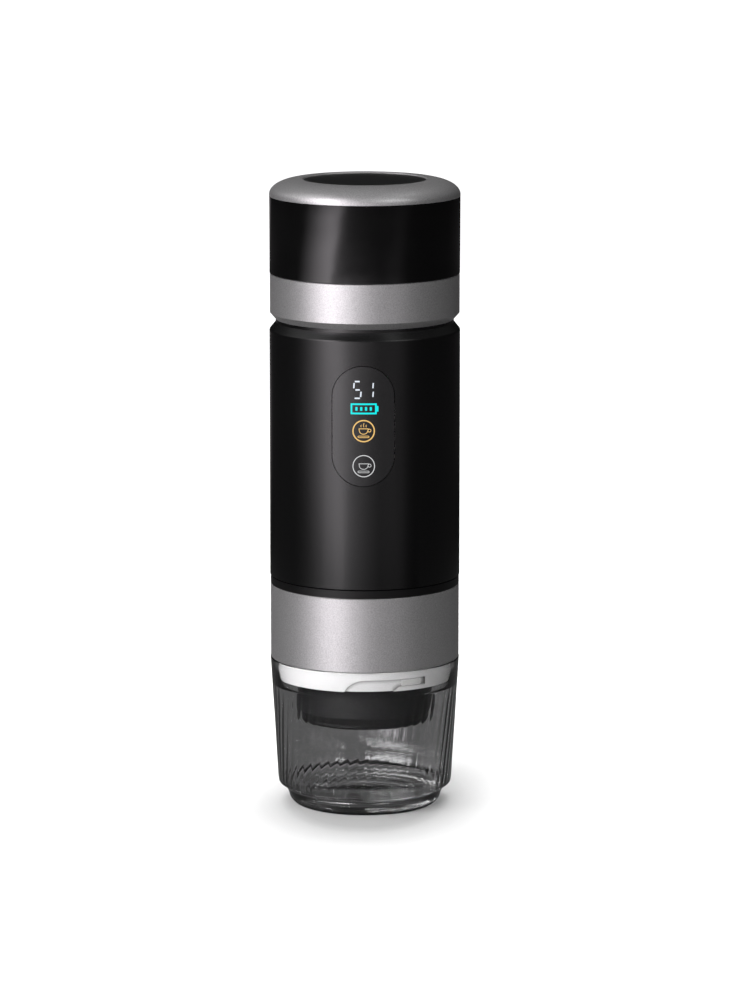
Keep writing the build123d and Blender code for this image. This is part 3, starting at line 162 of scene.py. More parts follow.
# Each look has the shader's fixed numbers and a grain that blends two colours. Roughness is (share, base) of the
# wear, or of the grain where there is no wear, and height adds to it: (low, high, at low, at high) in metres.
# Bump is (strength, distance) of the swell, or of the grain where there is no swell.
looks = {
    "smoke_plastic": {
        "name": "smokePlastic", "grain": (90, 3.0), "roughness": (0.03, 0.005), "swell": (70, 2.0),
        "bump": (0.05, 0.0002),
        "fixed": {"Base Color": (0.92, 0.92, 0.925, 1), "Roughness": 0.02, "IOR": 1.49, "Transmission Weight": 1.0}},
    "silver_paint": {
        "name": "silverPaint", "fixed": {"Metallic": 0.88, "Roughness": 0.4}, "grain": (2700, 1.0),
        "colors": ((0.42, 0.417, 0.42), (0.86, 0.853, 0.863)), "wear": (900, 2.0), "roughness": (0.12, 0.34),
        "bump": (0.3, 0.00003)},
    # the sleeve is a little smoother towards its foot
    "satin_black": {
        "name": "satinBlack", "fixed": {"Roughness": 0.4, "Specular IOR Level": 0.65}, "grain": (1900, 2.0),
        "colors": ((0.001, 0.001, 0.0011), (0.003, 0.003, 0.0031)), "wear": (1500, 1.0), "roughness": (0.04, 0.0),
        "height": (0.09, 0.15, 0.145, 0.232), "bump": (0.05, 0.00003)},
    # the trim ring low down is duller than the lid
    "gloss_black": {
        "name": "glossBlack", "fixed": {"Roughness": 0.08, "Specular IOR Level": 0.42}, "grain": (120, 3.0),
        "colors": ((0.0015, 0.0015, 0.0016), (0.003, 0.003, 0.003)), "roughness": (0.03, 0.05),
        "height": (0.10, 0.11, 0.3, 0.0), "swell": (45, 1.0), "bump": (0.05, 0.0002)},
    "window_black": {
        "name": "windowBlack", "fixed": {"Roughness": 0.28, "Specular IOR Level": 0.82}, "grain": (700, 2.0),
        "colors": ((0.003, 0.003, 0.0032), (0.006, 0.006, 0.0064)), "roughness": (0.06, 0.27)},
    # painted shade: ambient occlusion darkens the colour in steps and creases: (how far it reaches, how fast it
    # fades, samples)
    "white_plastic": {
        "name": "whitePlastic", "fixed": {"Roughness": 0.42, "Specular IOR Level": 0.45}, "grain": (900, 3.0),
        "colors": ((0.71, 0.705, 0.70), (0.77, 0.765, 0.76)), "paintedCreaseShade": (0.0016, 2.5, 8),
        "paintedCreaseShadeColor": (0.16, 0.155, 0.15), "roughness": (0.12, 0.36), "bump": (0.08, 0.00004)},
    "black_plastic": {
        "name": "blackPlastic", "fixed": {"Roughness": 0.42, "Specular IOR Level": 0.28}, "grain": (1500, 3.0),
        "colors": ((0.004, 0.004, 0.0042), (0.009, 0.009, 0.0092)), "roughness": (0.16, 0.36),
        "bump": (0.2, 0.00005)},
    "inner_plastic": {
        "name": "innerPlastic", "fixed": {"Roughness": 0.45, "Specular IOR Level": 0.45}, "grain": (1100, 3.0),
        "colors": ((0.24, 0.24, 0.25), (0.32, 0.32, 0.33)), "roughness": (0.15, 0.4), "bump": (0.15, 0.00005)},
    "steel": {
        "name": "brushedSteel", "fixed": {"Metallic": 1.0, "Roughness": 0.28}, "grain": (420, 3.0, (1.0, 1.0, 9.0)),
        "colors": ((0.50, 0.50, 0.49), (0.72, 0.72, 0.70)), "roughness": (0.22, 0.17), "bump": (0.1, 0.00003)},
    "aluminium": {
        "name": "turnedAluminium", "fixed": {"Metallic": 1.0, "Roughness": 0.32}, "grain": (1300, 2.0),
        "colors": ((0.58, 0.59, 0.60), (0.74, 0.75, 0.76)), "wear": turnedMetal, "roughness": (0.12, 0.22),
        "roughGrain": 0.08, "swell": turnedMetal, "bump": (0.08, 0.00003)},
    "silicone": {
        "name": "silicone", "fixed": {"Roughness": 0.55, "Specular IOR Level": 0.4}, "grain": (500, 3.0),
        "colors": ((0.62, 0.62, 0.60), (0.72, 0.72, 0.70)), "roughness": (0.2, 0.45), "bump": (0.12, 0.00005)},
    "black_rubber": {
        "name": "blackRubber", "fixed": {"Roughness": 0.62, "Specular IOR Level": 0.4}, "grain": (1700, 3.0),
        "colors": ((0.013, 0.013, 0.014), (0.024, 0.024, 0.025)), "roughness": (0.2, 0.5), "bump": (0.25, 0.00006)},
    "copper_winding": {
        "name": "copperWinding", "grain": woundWire,
        "fixed": {"Metallic": 0.9, "Roughness": 0.3, "Coat Weight": 0.4, "Coat Roughness": 0.15},
        "colors": ((0.26, 0.09, 0.035), (0.72, 0.34, 0.16)), "roughness": (-0.12, 0.4), "bump": (0.7, 0.0002)},
    "cell_wrap": {
        "name": "cellWrap", "fixed": {"Roughness": 0.25, "Specular IOR Level": 0.5},
        "grain": (160, 3.0, (1.0, 1.0, 0.25)), "colors": ((0.02, 0.11, 0.30), (0.04, 0.19, 0.42)),
        "roughness": (0.2, 0.16), "bump": (0.15, 0.0002)},
    "board_green": {
        "name": "boardGreen", "fixed": {"Roughness": 0.3, "Specular IOR Level": 0.5}, "grain": boardTracks,
        "colors": ((0.012, 0.085, 0.04), (0.03, 0.16, 0.075)), "roughness": (0.1, 0.26), "bump": (0.25, 0.00004)},
    "insulation": {
        "name": "insulationFelt", "fixed": {"Roughness": 0.95, "Sheen Weight": 0.4, "Sheen Roughness": 0.5},
        "grain": (1400, 5.0, (1.0, 1.0, 0.35)), "colors": ((0.50, 0.46, 0.38), (0.76, 0.72, 0.62)),
        "roughness": (0.15, 0.82), "bump": (0.7, 0.00025)},
}


def makeLook(look):
    coat = finish(look["name"], look["fixed"])
    grain = coat.pattern(look["grain"])
    if "colors" in look:
        color = coat.blend(grain, *look["colors"])
        # painted shade: the colour goes towards a dark grey where ambient occlusion finds steps and creases
        if "paintedCreaseShade" in look:
            reach, fade, samples = look["paintedCreaseShade"]
            paintedCreaseShade = coat.node("ShaderNodeAmbientOcclusion", "AO", {"samples": samples, "only_local": True}, {
                "Distance": reach})
            color = coat.blend(paintedCreaseShade.math("POWER", fade), look["paintedCreaseShadeColor"], color)
        coat.feed("Base Color", color)
    share, base = look["roughness"]
    wear = coat.pattern(look["wear"]) if "wear" in look else grain
    rough = wear * share + base
    if "roughGrain" in look:
        rough = rough + grain * look["roughGrain"]
    if "height" in look:
        rough = rough + coat.slide(coat.axis(2), *look["height"])
    coat.feed("Roughness", rough)
    if "bump" in look:
        strength, distance = look["bump"]
        swell = coat.pattern(look["swell"]) if "swell" in look else grain
        coat.feed("Normal", coat.node("ShaderNodeBump", 0, None, {
            "Height": swell, "Strength": strength, "Distance": distance}))
    return coat.material


# the lit marks' look; fine dust takes a little of their light
glowLook = {"dust": (1500, 1.0), "dusty": 0.93, "strength": 1.0, "roughness": 0.4}


def makeGlow(name, color):
    glow = finish(name, {
        "Base Color": (0, 0, 0, 1), "Roughness": glowLook["roughness"], "Emission Strength": glowLook["strength"]})
    dust = glow.pattern(glowLook["dust"])
    glow.feed("Emission Color", glow.blend(dust, [part * glowLook["dusty"] for part in color], color))
    return glow.material


finishes = {slot: makeLook(look) for slot, look in looks.items()}
for part in frame["record"]["subparts"]:
    for place in nodes[part["node"]].material_slots:
        place.material = finishes[part["material_slot"]]
print("finishes given:", len(finishes))


def selectOnly(pieces):
    bpy.ops.object.select_all(action="DESELECT")
    for piece in pieces:
        piece.select_set(True)
    bpy.context.view_layer.objects.active = pieces[0]


# selects the points of a mesh that pass a test, for the next edit-mode operator
def pick(piece, test):
    bpy.ops.object.mode_set(mode="EDIT")
    bpy.ops.mesh.select_all(action="DESELECT")
    bpy.ops.object.mode_set(mode="OBJECT")
    for point in piece.data.vertices:
        point.select = test(point)
    bpy.ops.object.mode_set(mode="EDIT")


# draws a line of edges at y = 0 through corners that start with (x, height) in millimetres, and stays in edit mode
def drawLine(name, corners):
    bpy.ops.object.select_all(action="DESELECT")
    bpy.ops.mesh.primitive_plane_add(size=mm, location=(0, 0, 0))
    piece = bpy.context.object
    piece.name = name
    piece.data.name = name
    bpy.ops.object.mode_set(mode="EDIT")
    bpy.ops.mesh.merge(type="CENTER")
    bpy.ops.transform.translate(value=(corners[0][0] * mm, 0, corners[0][1] * mm))
    for here, there in zip(corners, corners[1:]):
        step = ((there[0] - here[0]) * mm, 0, (there[1] - here[1]) * mm)
        bpy.ops.mesh.extrude_region_move(TRANSFORM_OT_translate={"value": step})
    return piece


# rounds the corners of a line or sheet that stands upright at y = 0; a corner's third number is its rounding
def roundCorners(piece, corners):
    for width in sorted({corner[2] for corner in corners if corner[2]}):
        spots = [Vector((corner[0] * mm, 0, corner[1] * mm)) for corner in corners if corner[2] == width]
        pick(piece, lambda point: any((point.co - spot).length < tiny for spot in spots))
        bpy.ops.mesh.bevel(offset=width * mm, segments=roundSteps, affect="VERTICES")


# turns all faces outward and leaves edit mode
def faceOut():
    bpy.ops.mesh.select_all(action="SELECT")
    bpy.ops.mesh.normals_make_consistent(inside=False)
    bpy.ops.object.mode_set(mode="OBJECT")


# keeps only the outline of a flat shape, this wide in millimetres
def keepOutline(stroke):
    bpy.ops.mesh.select_all(action="SELECT")
    bpy.ops.mesh.inset(thickness=stroke * mm, depth=0)
    bpy.ops.mesh.delete(type="FACE")


# gives a finished piece its finish, its body and the CAD nodes that it stands for
def fit(piece, look, body, replaced=()):
    piece.data.materials.clear()
    piece.data.materials.append(look)
    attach(piece, body)
    if replaced:
        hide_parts(*replaced)


# The cup is a turned section, its corners (radius, height, rounding) in millimetres, with leaning flutes round the
# outside from the shoulder to just below the rim. The wall up the outside is cut into rows.
cup = {
    "flutes": 56, "columns": 8, "depth": 0.12, "lean": 8.5, "leanRadius": 33.5,
    "low": 7.6, "fadeLow": 2.0, "high": 47.0, "fadeHigh": 8.0,
    "outside": [
        (0, 1.6, 0), (22.0, 1.6, 0.4), (22.5, 0, 0.5), (25.9, 0, 1.0), (27.8, 1.9, 1.0), (28.35, 4.0, 0.5),
        (29.4, 6.2, 1.0), (31.9, 7.9, 0.4), (32.18, 9.6, 0.4)],
    "inside": [
        (34.94, 55.4, 0.3), (32.95, 55.4, 0.2), (32.95, 46.5, 0), (32.45, 45.5, 0.3),
        (30.4, 12.8, 0.8), (29.9, 3.4, 6.5), (0, 3.4, 0)],
    "wallRows": 22, "smooth": 40.0,
    # a line halfway through the wall: its radius at a height, and what it gains per millimetre
    "middle": 31.2, "middleHeight": 9.6, "middleGain": 0.06,
}


def makeCup():
    low = cup["outside"][-1]
    high = cup["inside"][0]
    wall = []
    for row in range(1, cup["wallRows"]):
        share = row / cup["wallRows"]
        wall.append((low[0] + (high[0] - low[0]) * share, low[1] + (high[1] - low[1]) * share, 0))
    corners = cup["outside"] + wall + cup["inside"]
    piece = drawLine("cup_fluted", corners)
    roundCorners(piece, corners)
    bpy.ops.mesh.select_all(action="SELECT")
    bpy.ops.mesh.spin(
        steps=cup["flutes"] * cup["columns"], angle=2 * math.pi, center=(0, 0, 0), axis=(0, 0, 1))
    bpy.ops.mesh.select_all(action="SELECT")
    bpy.ops.mesh.remove_doubles(threshold=tiny)
    faceOut()
    bpy.ops.object.shade_smooth_by_angle(angle=math.radians(cup["smooth"]))
    # each point of the outside turns with the lean, and goes in by the flute's depth
    for point in piece.data.vertices:
        radius = math.hypot(point.co.x, point.co.y) / mm
        height = point.co.z / mm
        if radius < cup["middle"] + cup["middleGain"] * (height - cup["middleHeight"]):
            continue
        fade = min(1.0, max(0.0, (height - cup["low"]) / cup["fadeLow"]))
        fade = min(fade, max(0.0, (cup["high"] - height) / cup["fadeHigh"]))
        angle = math.atan2(point.co.y, point.co.x)
        across = (angle / (2 * math.pi) * cup["flutes"]) % 1.0
        groove = 1 - (2 * across - 1) ** 2
        radius = radius - cup["depth"] * groove * fade
        angle = angle + math.tan(math.radians(cup["lean"])) * (height - cup["low"]) / cup["leanRadius"]
        point.co.x = radius * math.cos(angle) * mm
        point.co.y = radius * math.sin(angle) * mm
    fit(piece, finishes["smoke_plastic"], "cup", ["cup"])


makeCup()
print("cup made")


# The lit marks behind the display window are flat shapes wrapped on its face. Places are (x, height) in
# millimetres, bars (x, height, wide, tall), and a button's cup is drawn round its own place.
marks = {
    "radius": 35.0, "lift": 0.035, "sink": 0.03, "reach": 6.0, "cut": 0.5, "thickness": 0.1, "ringSides": 64,
    "digits": {
        "bars": [
            (-2.16, 162.99, 1.8, 0.56), (-3.35, 161.5, 0.52, 2.0), (-2.04, 159.95, 1.65, 0.54),
            (-0.87, 158.33, 0.52, 2.0), (-2.16, 156.88, 1.95, 0.54), (3.56, 161.5, 0.46, 1.95),
            (3.56, 158.33, 0.46, 1.95)],
        "lean": 0.07, "rounding": 0.18, "color": (0.84, 0.91, 1.0)},
    "battery": {
        "place": (0.16, 153.03), "size": (9.43, 3.98), "rounding": 0.12, "stroke": 0.6,
        "nub": (5.18, 153.03, 0.6, 2.07), "bars": [-2.46, -0.72, 1.02, 2.75], "bar": (0.80, 1.38),
        "barRounding": 0.2, "color": (0.0, 0.93, 0.92)},
    "brew": {
        "place": (0.15, 144.9), "ring": 4.08, "ringStroke": 0.44, "stroke": 0.26, "steam": True,
        "color": (0.95, 0.60, 0.20)},
    "extract": {
        "place": (0.18, 132.05), "ring": 4.05, "ringStroke": 0.30, "stroke": 0.20, "steam": False,
        "color": (0.72, 0.73, 0.74)},
    "bowl": [
        (-1.84, 0.97, 0.15), (1.84, 0.97, 0.15), (1.5, -0.5, 0.45), (0.6, -1.24, 0.45), (-0.75, -1.24, 0.45),
        (-1.6, -0.5, 0.45)],
    "handle": (2.1, 0.2, 0.66),
    "saucer": (-0.06, -2.1, 4.2, 0.78), "saucerRounding": 0.38, "saucerStroke": 0.85,
    "wisp": [
        (0.06, 0, 0.05), (0.3, 0, 0.05), (0.14, 0.5, 0.05), (0.34, 1, 0.05), (0.1, 1, 0.05), (-0.1, 0.5, 0.05)],
    "wisps": [(-1.06, 1.4, 0.9), (-0.1, 1.43, 1.5), (0.8, 1.4, 0.9)],
}


# one flat mark; with a stroke only its outline stays
def drawMark(corners, stroke=0.0):
    piece = drawLine("mark", corners)
    bpy.ops.mesh.select_all(action="SELECT")
    bpy.ops.mesh.edge_face_add()
    roundCorners(piece, corners)
    if stroke:
        keepOutline(stroke)
    bpy.ops.object.mode_set(mode="OBJECT")
    return piece


def drawBar(x, z, wide, tall, rounding, stroke=0.0, lean=0.0):
    w = wide / 2
    t = tall / 2
    return drawMark([
        (x - w - lean * t, z - t, rounding), (x + w - lean * t, z - t, rounding),
        (x + w + lean * t, z + t, rounding), (x - w + lean * t, z + t, rounding)], stroke)


def drawRing(x, z, radius, stroke):
    bpy.ops.object.select_all(action="DESELECT")
    bpy.ops.mesh.primitive_circle_add(
        vertices=marks["ringSides"], radius=radius * mm, fill_type="NGON", location=(x * mm, 0, z * mm),
        rotation=(math.pi / 2, 0, 0))
    piece = bpy.context.object
    bpy.ops.object.transform_apply(location=True, rotation=True, scale=True)
    bpy.ops.object.mode_set(mode="EDIT")
    keepOutline(stroke)
    bpy.ops.object.mode_set(mode="OBJECT")
    return piece


def drawButton(button):
    x, z = button["place"]
    stroke = button["stroke"]
    across, up, radius = marks["handle"]
    left, low, wide, tall = marks["saucer"]
    drawn = [
        drawRing(x, z, button["ring"], button["ringStroke"]),
        drawMark([(x + a, z + b, rounding) for a, b, rounding in marks["bowl"]], stroke),
        drawRing(x + across, z + up, radius, stroke),
        drawBar(x + left, z + low, wide, tall, marks["saucerRounding"], stroke * marks["saucerStroke"])]
    if button["steam"]:
        for left, low, tall in marks["wisps"]:
            drawn.append(drawMark([
                (x + left + a, z + low + b * tall, rounding) for a, b, rounding in marks["wisp"]]))
    return drawn


# Joins the drawn marks, gives them thickness and bends them round a face of this radius, from sink below it to lift
# above it. They are cut into strips first, as far as reach from the middle.
def wrapMarks(name, drawn, radius, lift, sink, reach):
    selectOnly(drawn)
    piece = drawn[0]
    if len(drawn) > 1:
        bpy.ops.object.join()
    piece.name = name
    piece.data.name = name
    bpy.ops.object.mode_set(mode="EDIT")
    bpy.ops.mesh.select_all(action="SELECT")
    steps = round(reach / marks["cut"])
    for step in range(-steps, steps + 1):
        bpy.ops.mesh.bisect(plane_co=(step * marks["cut"] * mm, 0, 0), plane_no=(1, 0, 0))
        bpy.ops.mesh.select_all(action="SELECT")
    thickness = marks["thickness"] * mm
    bpy.ops.mesh.extrude_region_move(TRANSFORM_OT_translate={"value": (0, -thickness, 0)})
    faceOut()
    for point in piece.data.vertices:
        away = (radius + (lift if point.co.y < -thickness / 2 else -sink)) * mm
        point.co.y = -math.sqrt(away ** 2 - point.co.x ** 2)
    return piece


def lightMarks(key, drawn):
    name = "mark_" + key
    piece = wrapMarks(name, drawn, marks["radius"], marks["lift"], marks["sink"], marks["reach"])
    fit(piece, makeGlow(name + "Glow", marks[key]["color"]), "machine")


def makeMarks():
    digits = marks["digits"]
    drawn = []
    for x, z, wide, tall in digits["bars"]:
        drawn.append(drawBar(x, z, wide, tall, digits["rounding"], 0.0, digits["lean"] if tall > wide else 0.0))
    lightMarks("digits", drawn)
    battery = marks["battery"]
    x, z = battery["place"]
    drawn = [
        drawBar(x, z, *battery["size"], battery["rounding"], battery["stroke"]),
        drawBar(*battery["nub"], battery["barRounding"])]
    for left in battery["bars"]:
        drawn.append(drawBar(left, z, *battery["bar"], battery["barRounding"]))
    lightMarks("battery", drawn)
    for key in ("brew", "extract"):
        lightMarks(key, drawButton(marks[key]))


makeMarks()
print("marks made")


# framed pads at the ends of the collar's three bayonet tracks, on the tracks' floor
latch = {
    "x": 17.0, "z": 50.9, "wide": 6.9, "tall": 2.3, "rounding": 0.5, "stroke": 0.42, "fillRounding": 0.2,
    "radius": 31.75, "lift": 0.6, "fillLift": 0.35, "sink": 0.2, "reach": 21.0, "count": 3}


def makeLatchPads():
    rim = drawBar(latch["x"], latch["z"], latch["wide"], latch["tall"], latch["rounding"], latch["stroke"])
    rim = wrapMarks("latch_frame", [rim], latch["radius"], latch["lift"], latch["sink"], latch["reach"])
    inner = drawBar(
        latch["x"], latch["z"], latch["wide"] - latch["stroke"], latch["tall"] - latch["stroke"],
        latch["fillRounding"])
    inner = wrapMarks("latch_inner", [inner], latch["radius"], latch["fillLift"], latch["sink"], latch["reach"])
    for turns in range(latch["count"]):
        for first, look in ((rim, "white_plastic"), (inner, "silicone")):
            piece = first
            if turns:
                piece = first.copy()
                piece.data = first.data.copy()
                bpy.context.scene.collection.objects.link(piece)
                selectOnly([piece])
                piece.rotation_euler = (0, 0, turns * 2 * math.pi / latch["count"])
                bpy.ops.object.transform_apply(location=False, rotation=True, scale=False)
                piece.name = first.name + "_" + str(turns + 1)
            fit(piece, finishes[look], "brew_head")


makeLatchPads()
print("latch pads made")


# the pump's two springs, between the plunger and the ends of its barrel, in millimetres
spring = {"wire": 0.35, "coil": 3.2, "turns": 5, "sides": 10, "steps": 26, "smooth": 40.0}


def makeSpring(name):
    lowest, highest = [Vector(corner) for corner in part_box(name)]
    middle = (lowest + highest) / 2
    wire = spring["wire"] * mm
    sides = spring["sides"]
    bpy.ops.object.select_all(action="DESELECT")
    bpy.ops.mesh.primitive_circle_add(
        vertices=sides, radius=wire, fill_type="NOTHING", rotation=(math.pi / 2, 0, 0),
        location=(middle.x + spring["coil"] * mm, middle.y, lowest.z + wire))
    piece = bpy.context.object
    piece.name = name + "_wound"
    piece.data.name = piece.name
    bpy.ops.object.transform_apply(location=True, rotation=True, scale=True)
    bpy.ops.object.mode_set(mode="EDIT")
    bpy.ops.mesh.select_all(action="SELECT")
    steps = spring["turns"] * spring["steps"]
    bpy.ops.mesh.spin(
        steps=steps, angle=spring["turns"] * 2 * math.pi, center=middle, axis=(0, 0, 1), use_auto_merge=False)
    bpy.ops.object.mode_set(mode="OBJECT")
    # each ring of the wire stands a little higher than the one before
    rise = (highest.z - lowest.z - 2 * wire) / steps
    for point in piece.data.vertices:
        point.co.z += rise * (point.index // sides)
    for end in (0, steps):
        pick(piece, lambda point: point.index // sides == end)
        bpy.ops.mesh.edge_face_add()
    faceOut()
    bpy.ops.object.shade_smooth_by_angle(angle=math.radians(spring["smooth"]))
    piece.data.materials.append(finishes["steel"])
    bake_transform(piece)
    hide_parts(name)


makeSpring("lower_spring")
makeSpring("upper_spring")
print("springs made")


# angles in degrees; the place in millimetres, as it is before the turn round the machine
camera = {
    "turn": 0.92, "pitch": 9.90, "x": 0.44, "y": -1819.0, "z": 431.0, "lens": 180.0, "sensor": 36.0, "clipEnd": 20.0}
turn = math.radians(camera["turn"])
eye = bpy.data.objects.new("camera", bpy.data.cameras.new("camera"))
eye.data.lens = camera["lens"]
eye.data.sensor_width = camera["sensor"]
eye.data.clip_end = camera["clipEnd"]
eye.location = (
    (camera["x"] * math.cos(turn) - camera["y"] * math.sin(turn)) * mm,
    (camera["x"] * math.sin(turn) + camera["y"] * math.cos(turn)) * mm,
    camera["z"] * mm)
eye.rotation_euler = (math.radians(90.0 - camera["pitch"]), 0, turn)
bpy.context.scene.collection.objects.link(eye)
bpy.context.scene.camera = eye
bpy.context.scene.view_settings.view_transform = "Standard"
print("camera set")


# Everything in metres. Angles go round the machine in degrees: 0 is the front and minus is the left.
stage = {
    "worldLight": 0.30, "sides": 96,
    "floorRadius": 12.0, "floorStretch": 1.7, "floorNoise": (3.0, 2.0), "floorRoughness": (0.1, 0.85),
    # distance from the machine's axis and the floor's own glow there, none near the machine so that it paints the
    # shadow round the foot; sideways distances count more
    "floorGlowAndPaintedShadow": [
        (0.0, 0.0), (0.045, 0.0), (0.058, 0.02), (0.066, 0.07), (0.078, 0.18), (0.095, 0.29), (0.14, 0.45),
        (0.30, 0.50), (2.5, 0.9)],
    # the same distance and the floor's colour there, darker near the foot as a painted shadow
    "floorPaintedShadow": [
        (0.0, 0.66), (0.043, 0.66), (0.049, 0.75), (0.053, 0.84), (0.058, 0.89), (0.070, 0.915), (0.10, 0.92)],
    # name, angle, distance, height, wide, tall and power
    "softboxes": [
        ("mainBox", -48, 1.5, 0.40, 1.4, 1.0, 25.0), ("frontBox", -12, 1.7, 0.50, 0.6, 0.6, 17.0),
        ("rightBox", 52, 1.5, 0.40, 1.2, 1.0, 2.0), ("topBox", 180, 0.45, 1.4, 1.2, 1.2, 12.0)],
    "aim": (0, 0, 0.12),
    "wallRadius": 2.2, "wallLow": -0.9, "wallHigh": 3.0, "wallStrength": 4.4, "cardRadius": 2.3,
    # angle and brightness there
    "panels": [
        (-180, 0.4), (-174, 0.35), (-168, 0.03), (-104, 0.02), (-84, 0.04), (-77, 0.4), (-68, 1.2), (-58, 2.6),
        (-48, 3.8), (-39, 4.1), (-33, 0.55), (-24, 0.2), (-14, 0.05), (10, 0.04), (28, 0.04), (32, 0.09),
        (44, 0.09), (48, 0.03), (66, 0.02), (168, 0.03), (174, 0.35), (180, 0.4)],
    # a weaker sheet from the panel to past the front
    "sheet": [
        (-180, 0.0), (-52, 0.0), (-40, 1.4), (-30, 2.4), (-20, 2.3), (-8, 1.5), (4, 0.85), (18, 0.35), (28, 0.42),
        (42, 0.40), (54, 0.02), (70, 0.0), (180, 0.0)],
    # height on the wall, and there the panels' turn, their strength and the sheet's strength
    "turns": [
        (-0.60, -9), (-0.37, -9), (-0.348, -8), (-0.325, 13), (-0.15, 13), (-0.118, -7), (-0.090, -4),
        (-0.085, -3), (-0.022, 15), (0.06, 13), (0.15, 0), (0.90, 0)],
    "panelLevels": [
        (-0.60, 0.0), (-0.43, 0.0), (-0.37, 0.30), (-0.33, 0.05), (-0.29, 0.06), (-0.25, 0.28), (-0.21, 1.0),
        (-0.13, 0.92), (-0.10, 1.0), (-0.082, 0.9), (-0.070, 1.25), (-0.055, 1.15), (-0.035, 0.75),
        (-0.018, 0.45), (0.05, 0.5), (0.30, 0.9), (0.90, 0.9)],
    "sheetLevels": [
        (-0.60, 0.0), (-0.43, 0.0), (-0.37, 0.2), (-0.32, 0.08), (-0.28, 0.22), (-0.23, 1.0), (-0.13, 1.0),
        (-0.10, 0.8), (-0.088, 0.02), (-0.065, 0.04), (-0.035, 0.03), (0.01, 0.0), (0.06, 0.5), (0.15, 0.9),
        (0.35, 0.8), (0.60, 0.0), (0.90, 0.0)],
    "turnSpan": 40, "levelSpan": 1.25,
    # behind this y the panel ends between these heights, so that the top of the lid stays dark
    "behind": 0.5, "behindFull": 0.04, "behindEnd": 0.12,
    "tint": (1.0, 0.94, 0.985), "tintFrom": -0.30, "tintTo": -0.20,
    # an even light low down: its brightness at two values of y, and the heights where it is full and gone; it ends
    # higher by the step behind another y
    "lowFront": (-0.5, 0.085), "lowBack": (0.8, 0.108), "lowFull": -0.47, "lowEnd": -0.40,
    "lowStep": 0.09, "lowStepFrom": -0.8,
    # high up the wall: angle and brightness, and the heights where it starts and is full
    "high": [
        (-180, 0.07), (-130, 0.07), (-105, 0.55), (-80, 0.55), (-60, 0.25), (-20, 0.22), (20, 0.22), (31, 1.3),
        (50, 1.3), (62, 0.08), (110, 0.05), (180, 0.07)],
    "highFrom": 0.6, "highTo": 1.5,
    # a faint light behind this y, for the flat top of the lid
    "faint": 0.012, "faintBehind": 0.3, "faintFrom": 0.15, "faintTo": 0.25,
    # from left to right overhead, and brightness there
    "top": [
        (-2.3, 0.7), (-1.7, 0.6), (-1.2, 0.22), (-0.7, 0.11), (0.5, 0.11), (0.85, 0.2), (1.1, 0.6), (1.35, 0.6),
        (1.6, 0.08), (2.3, 0.08)],
    "ground": 0.06,
    # bright panes seen only in the cup: angle, width, height above the floor, tallness and glow
    "panes": [(-35, 1.10, 0.60, 1.20, 10.0), (38, 0.13, 0.55, 0.90, 14.0), (-101, 0.14, 0.45, 0.90, 6.0)],
    "paneDistance": 1.45,
}


# a flat disc round the machine's axis
def makeDisc(name, radius, height):
    bpy.ops.object.select_all(action="DESELECT")
    bpy.ops.mesh.primitive_circle_add(
        vertices=stage["sides"], radius=radius, fill_type="NGON", location=(0, 0, height))
    disc = bpy.context.object
    disc.name = name
    return disc


def makeFloorFinish():
    paper = finish("floorPaper", {
        "Base Color": (0.92, 0.92, 0.92, 1), "Roughness": 0.9, "Specular IOR Level": 0.0, "Emission Strength": 1.0})
    share, base = stage["floorRoughness"]
    paper.feed("Roughness", paper.pattern(stage["floorNoise"]) * share + base)
    flat = paper.scaled((stage["floorStretch"], 1, 1))
    away = paper.node("ShaderNodeVectorMath", "Value", {"operation": "LENGTH"}, {0: flat})
    # painted shadow: the floor's glow is weaker near the machine
    paper.feed("Emission Color", paper.ramp(stage["floorGlowAndPaintedShadow"], away))
    # painted shadow: the floor's colour is darker near the machine's foot
    paper.feed("Base Color", paper.ramp(stage["floorPaintedShadow"], away))
    return paper.material


floor = makeDisc("floor", stage["floorRadius"], 0)
floor.data.materials.append(makeFloorFinish())
floor.visible_diffuse = False
floor.visible_glossy = False
floor.visible_transmission = False
print("floor made")

# the white room is at full brightness where it is seen, and weaker where it only lights
world = bpy.data.worlds.new("studio")
bpy.context.scene.world = world
world.use_nodes = True
sky = world.node_tree
back = sky.nodes["Background"]
path = sky.nodes.new("ShaderNodeLightPath")
seen = value(sky, path.outputs["Is Camera Ray"]) + value(sky, path.outputs["Is Glossy Ray"])
seen = seen.math("ADD", value(sky, path.outputs["Is Transmission Ray"]), clamp=True)
level = seen * (1.0 - stage["worldLight"]) + stage["worldLight"]
back.inputs["Color"].default_value = (1, 1, 1, 1)
sky.links.new(level.socket, back.inputs["Strength"])


# the place at this angle, distance and height
def standAt(angle, distance, height):
    around = math.radians(angle)
    return Vector((distance * math.sin(around), -distance * math.cos(around), height))


for name, angle, distance, height, wide, tall, power in stage["softboxes"]:
    lamp = bpy.data.lights.new(name, "AREA")
    lamp.shape = "RECTANGLE"
    lamp.size = wide
    lamp.size_y = tall
    lamp.energy = power
    softbox = bpy.data.objects.new(name, lamp)
    softbox.location = standAt(angle, distance, height)
    softbox.rotation_euler = (Vector(stage["aim"]) - softbox.location).to_track_quat("-Z", "Y").to_euler()
    softbox.visible_glossy = False
    bpy.context.scene.collection.objects.link(softbox)
print("softboxes set:", len(stage["softboxes"]))


# a cloth that reflects nothing and glows
def makeCloth(name, strength):
    return finish(name, {
        "Base Color": (0, 0, 0, 1), "Roughness": 1.0, "Specular IOR Level": 0.0,
        "Emission Strength": strength, "Emission Color": (1, 1, 1, 1)})


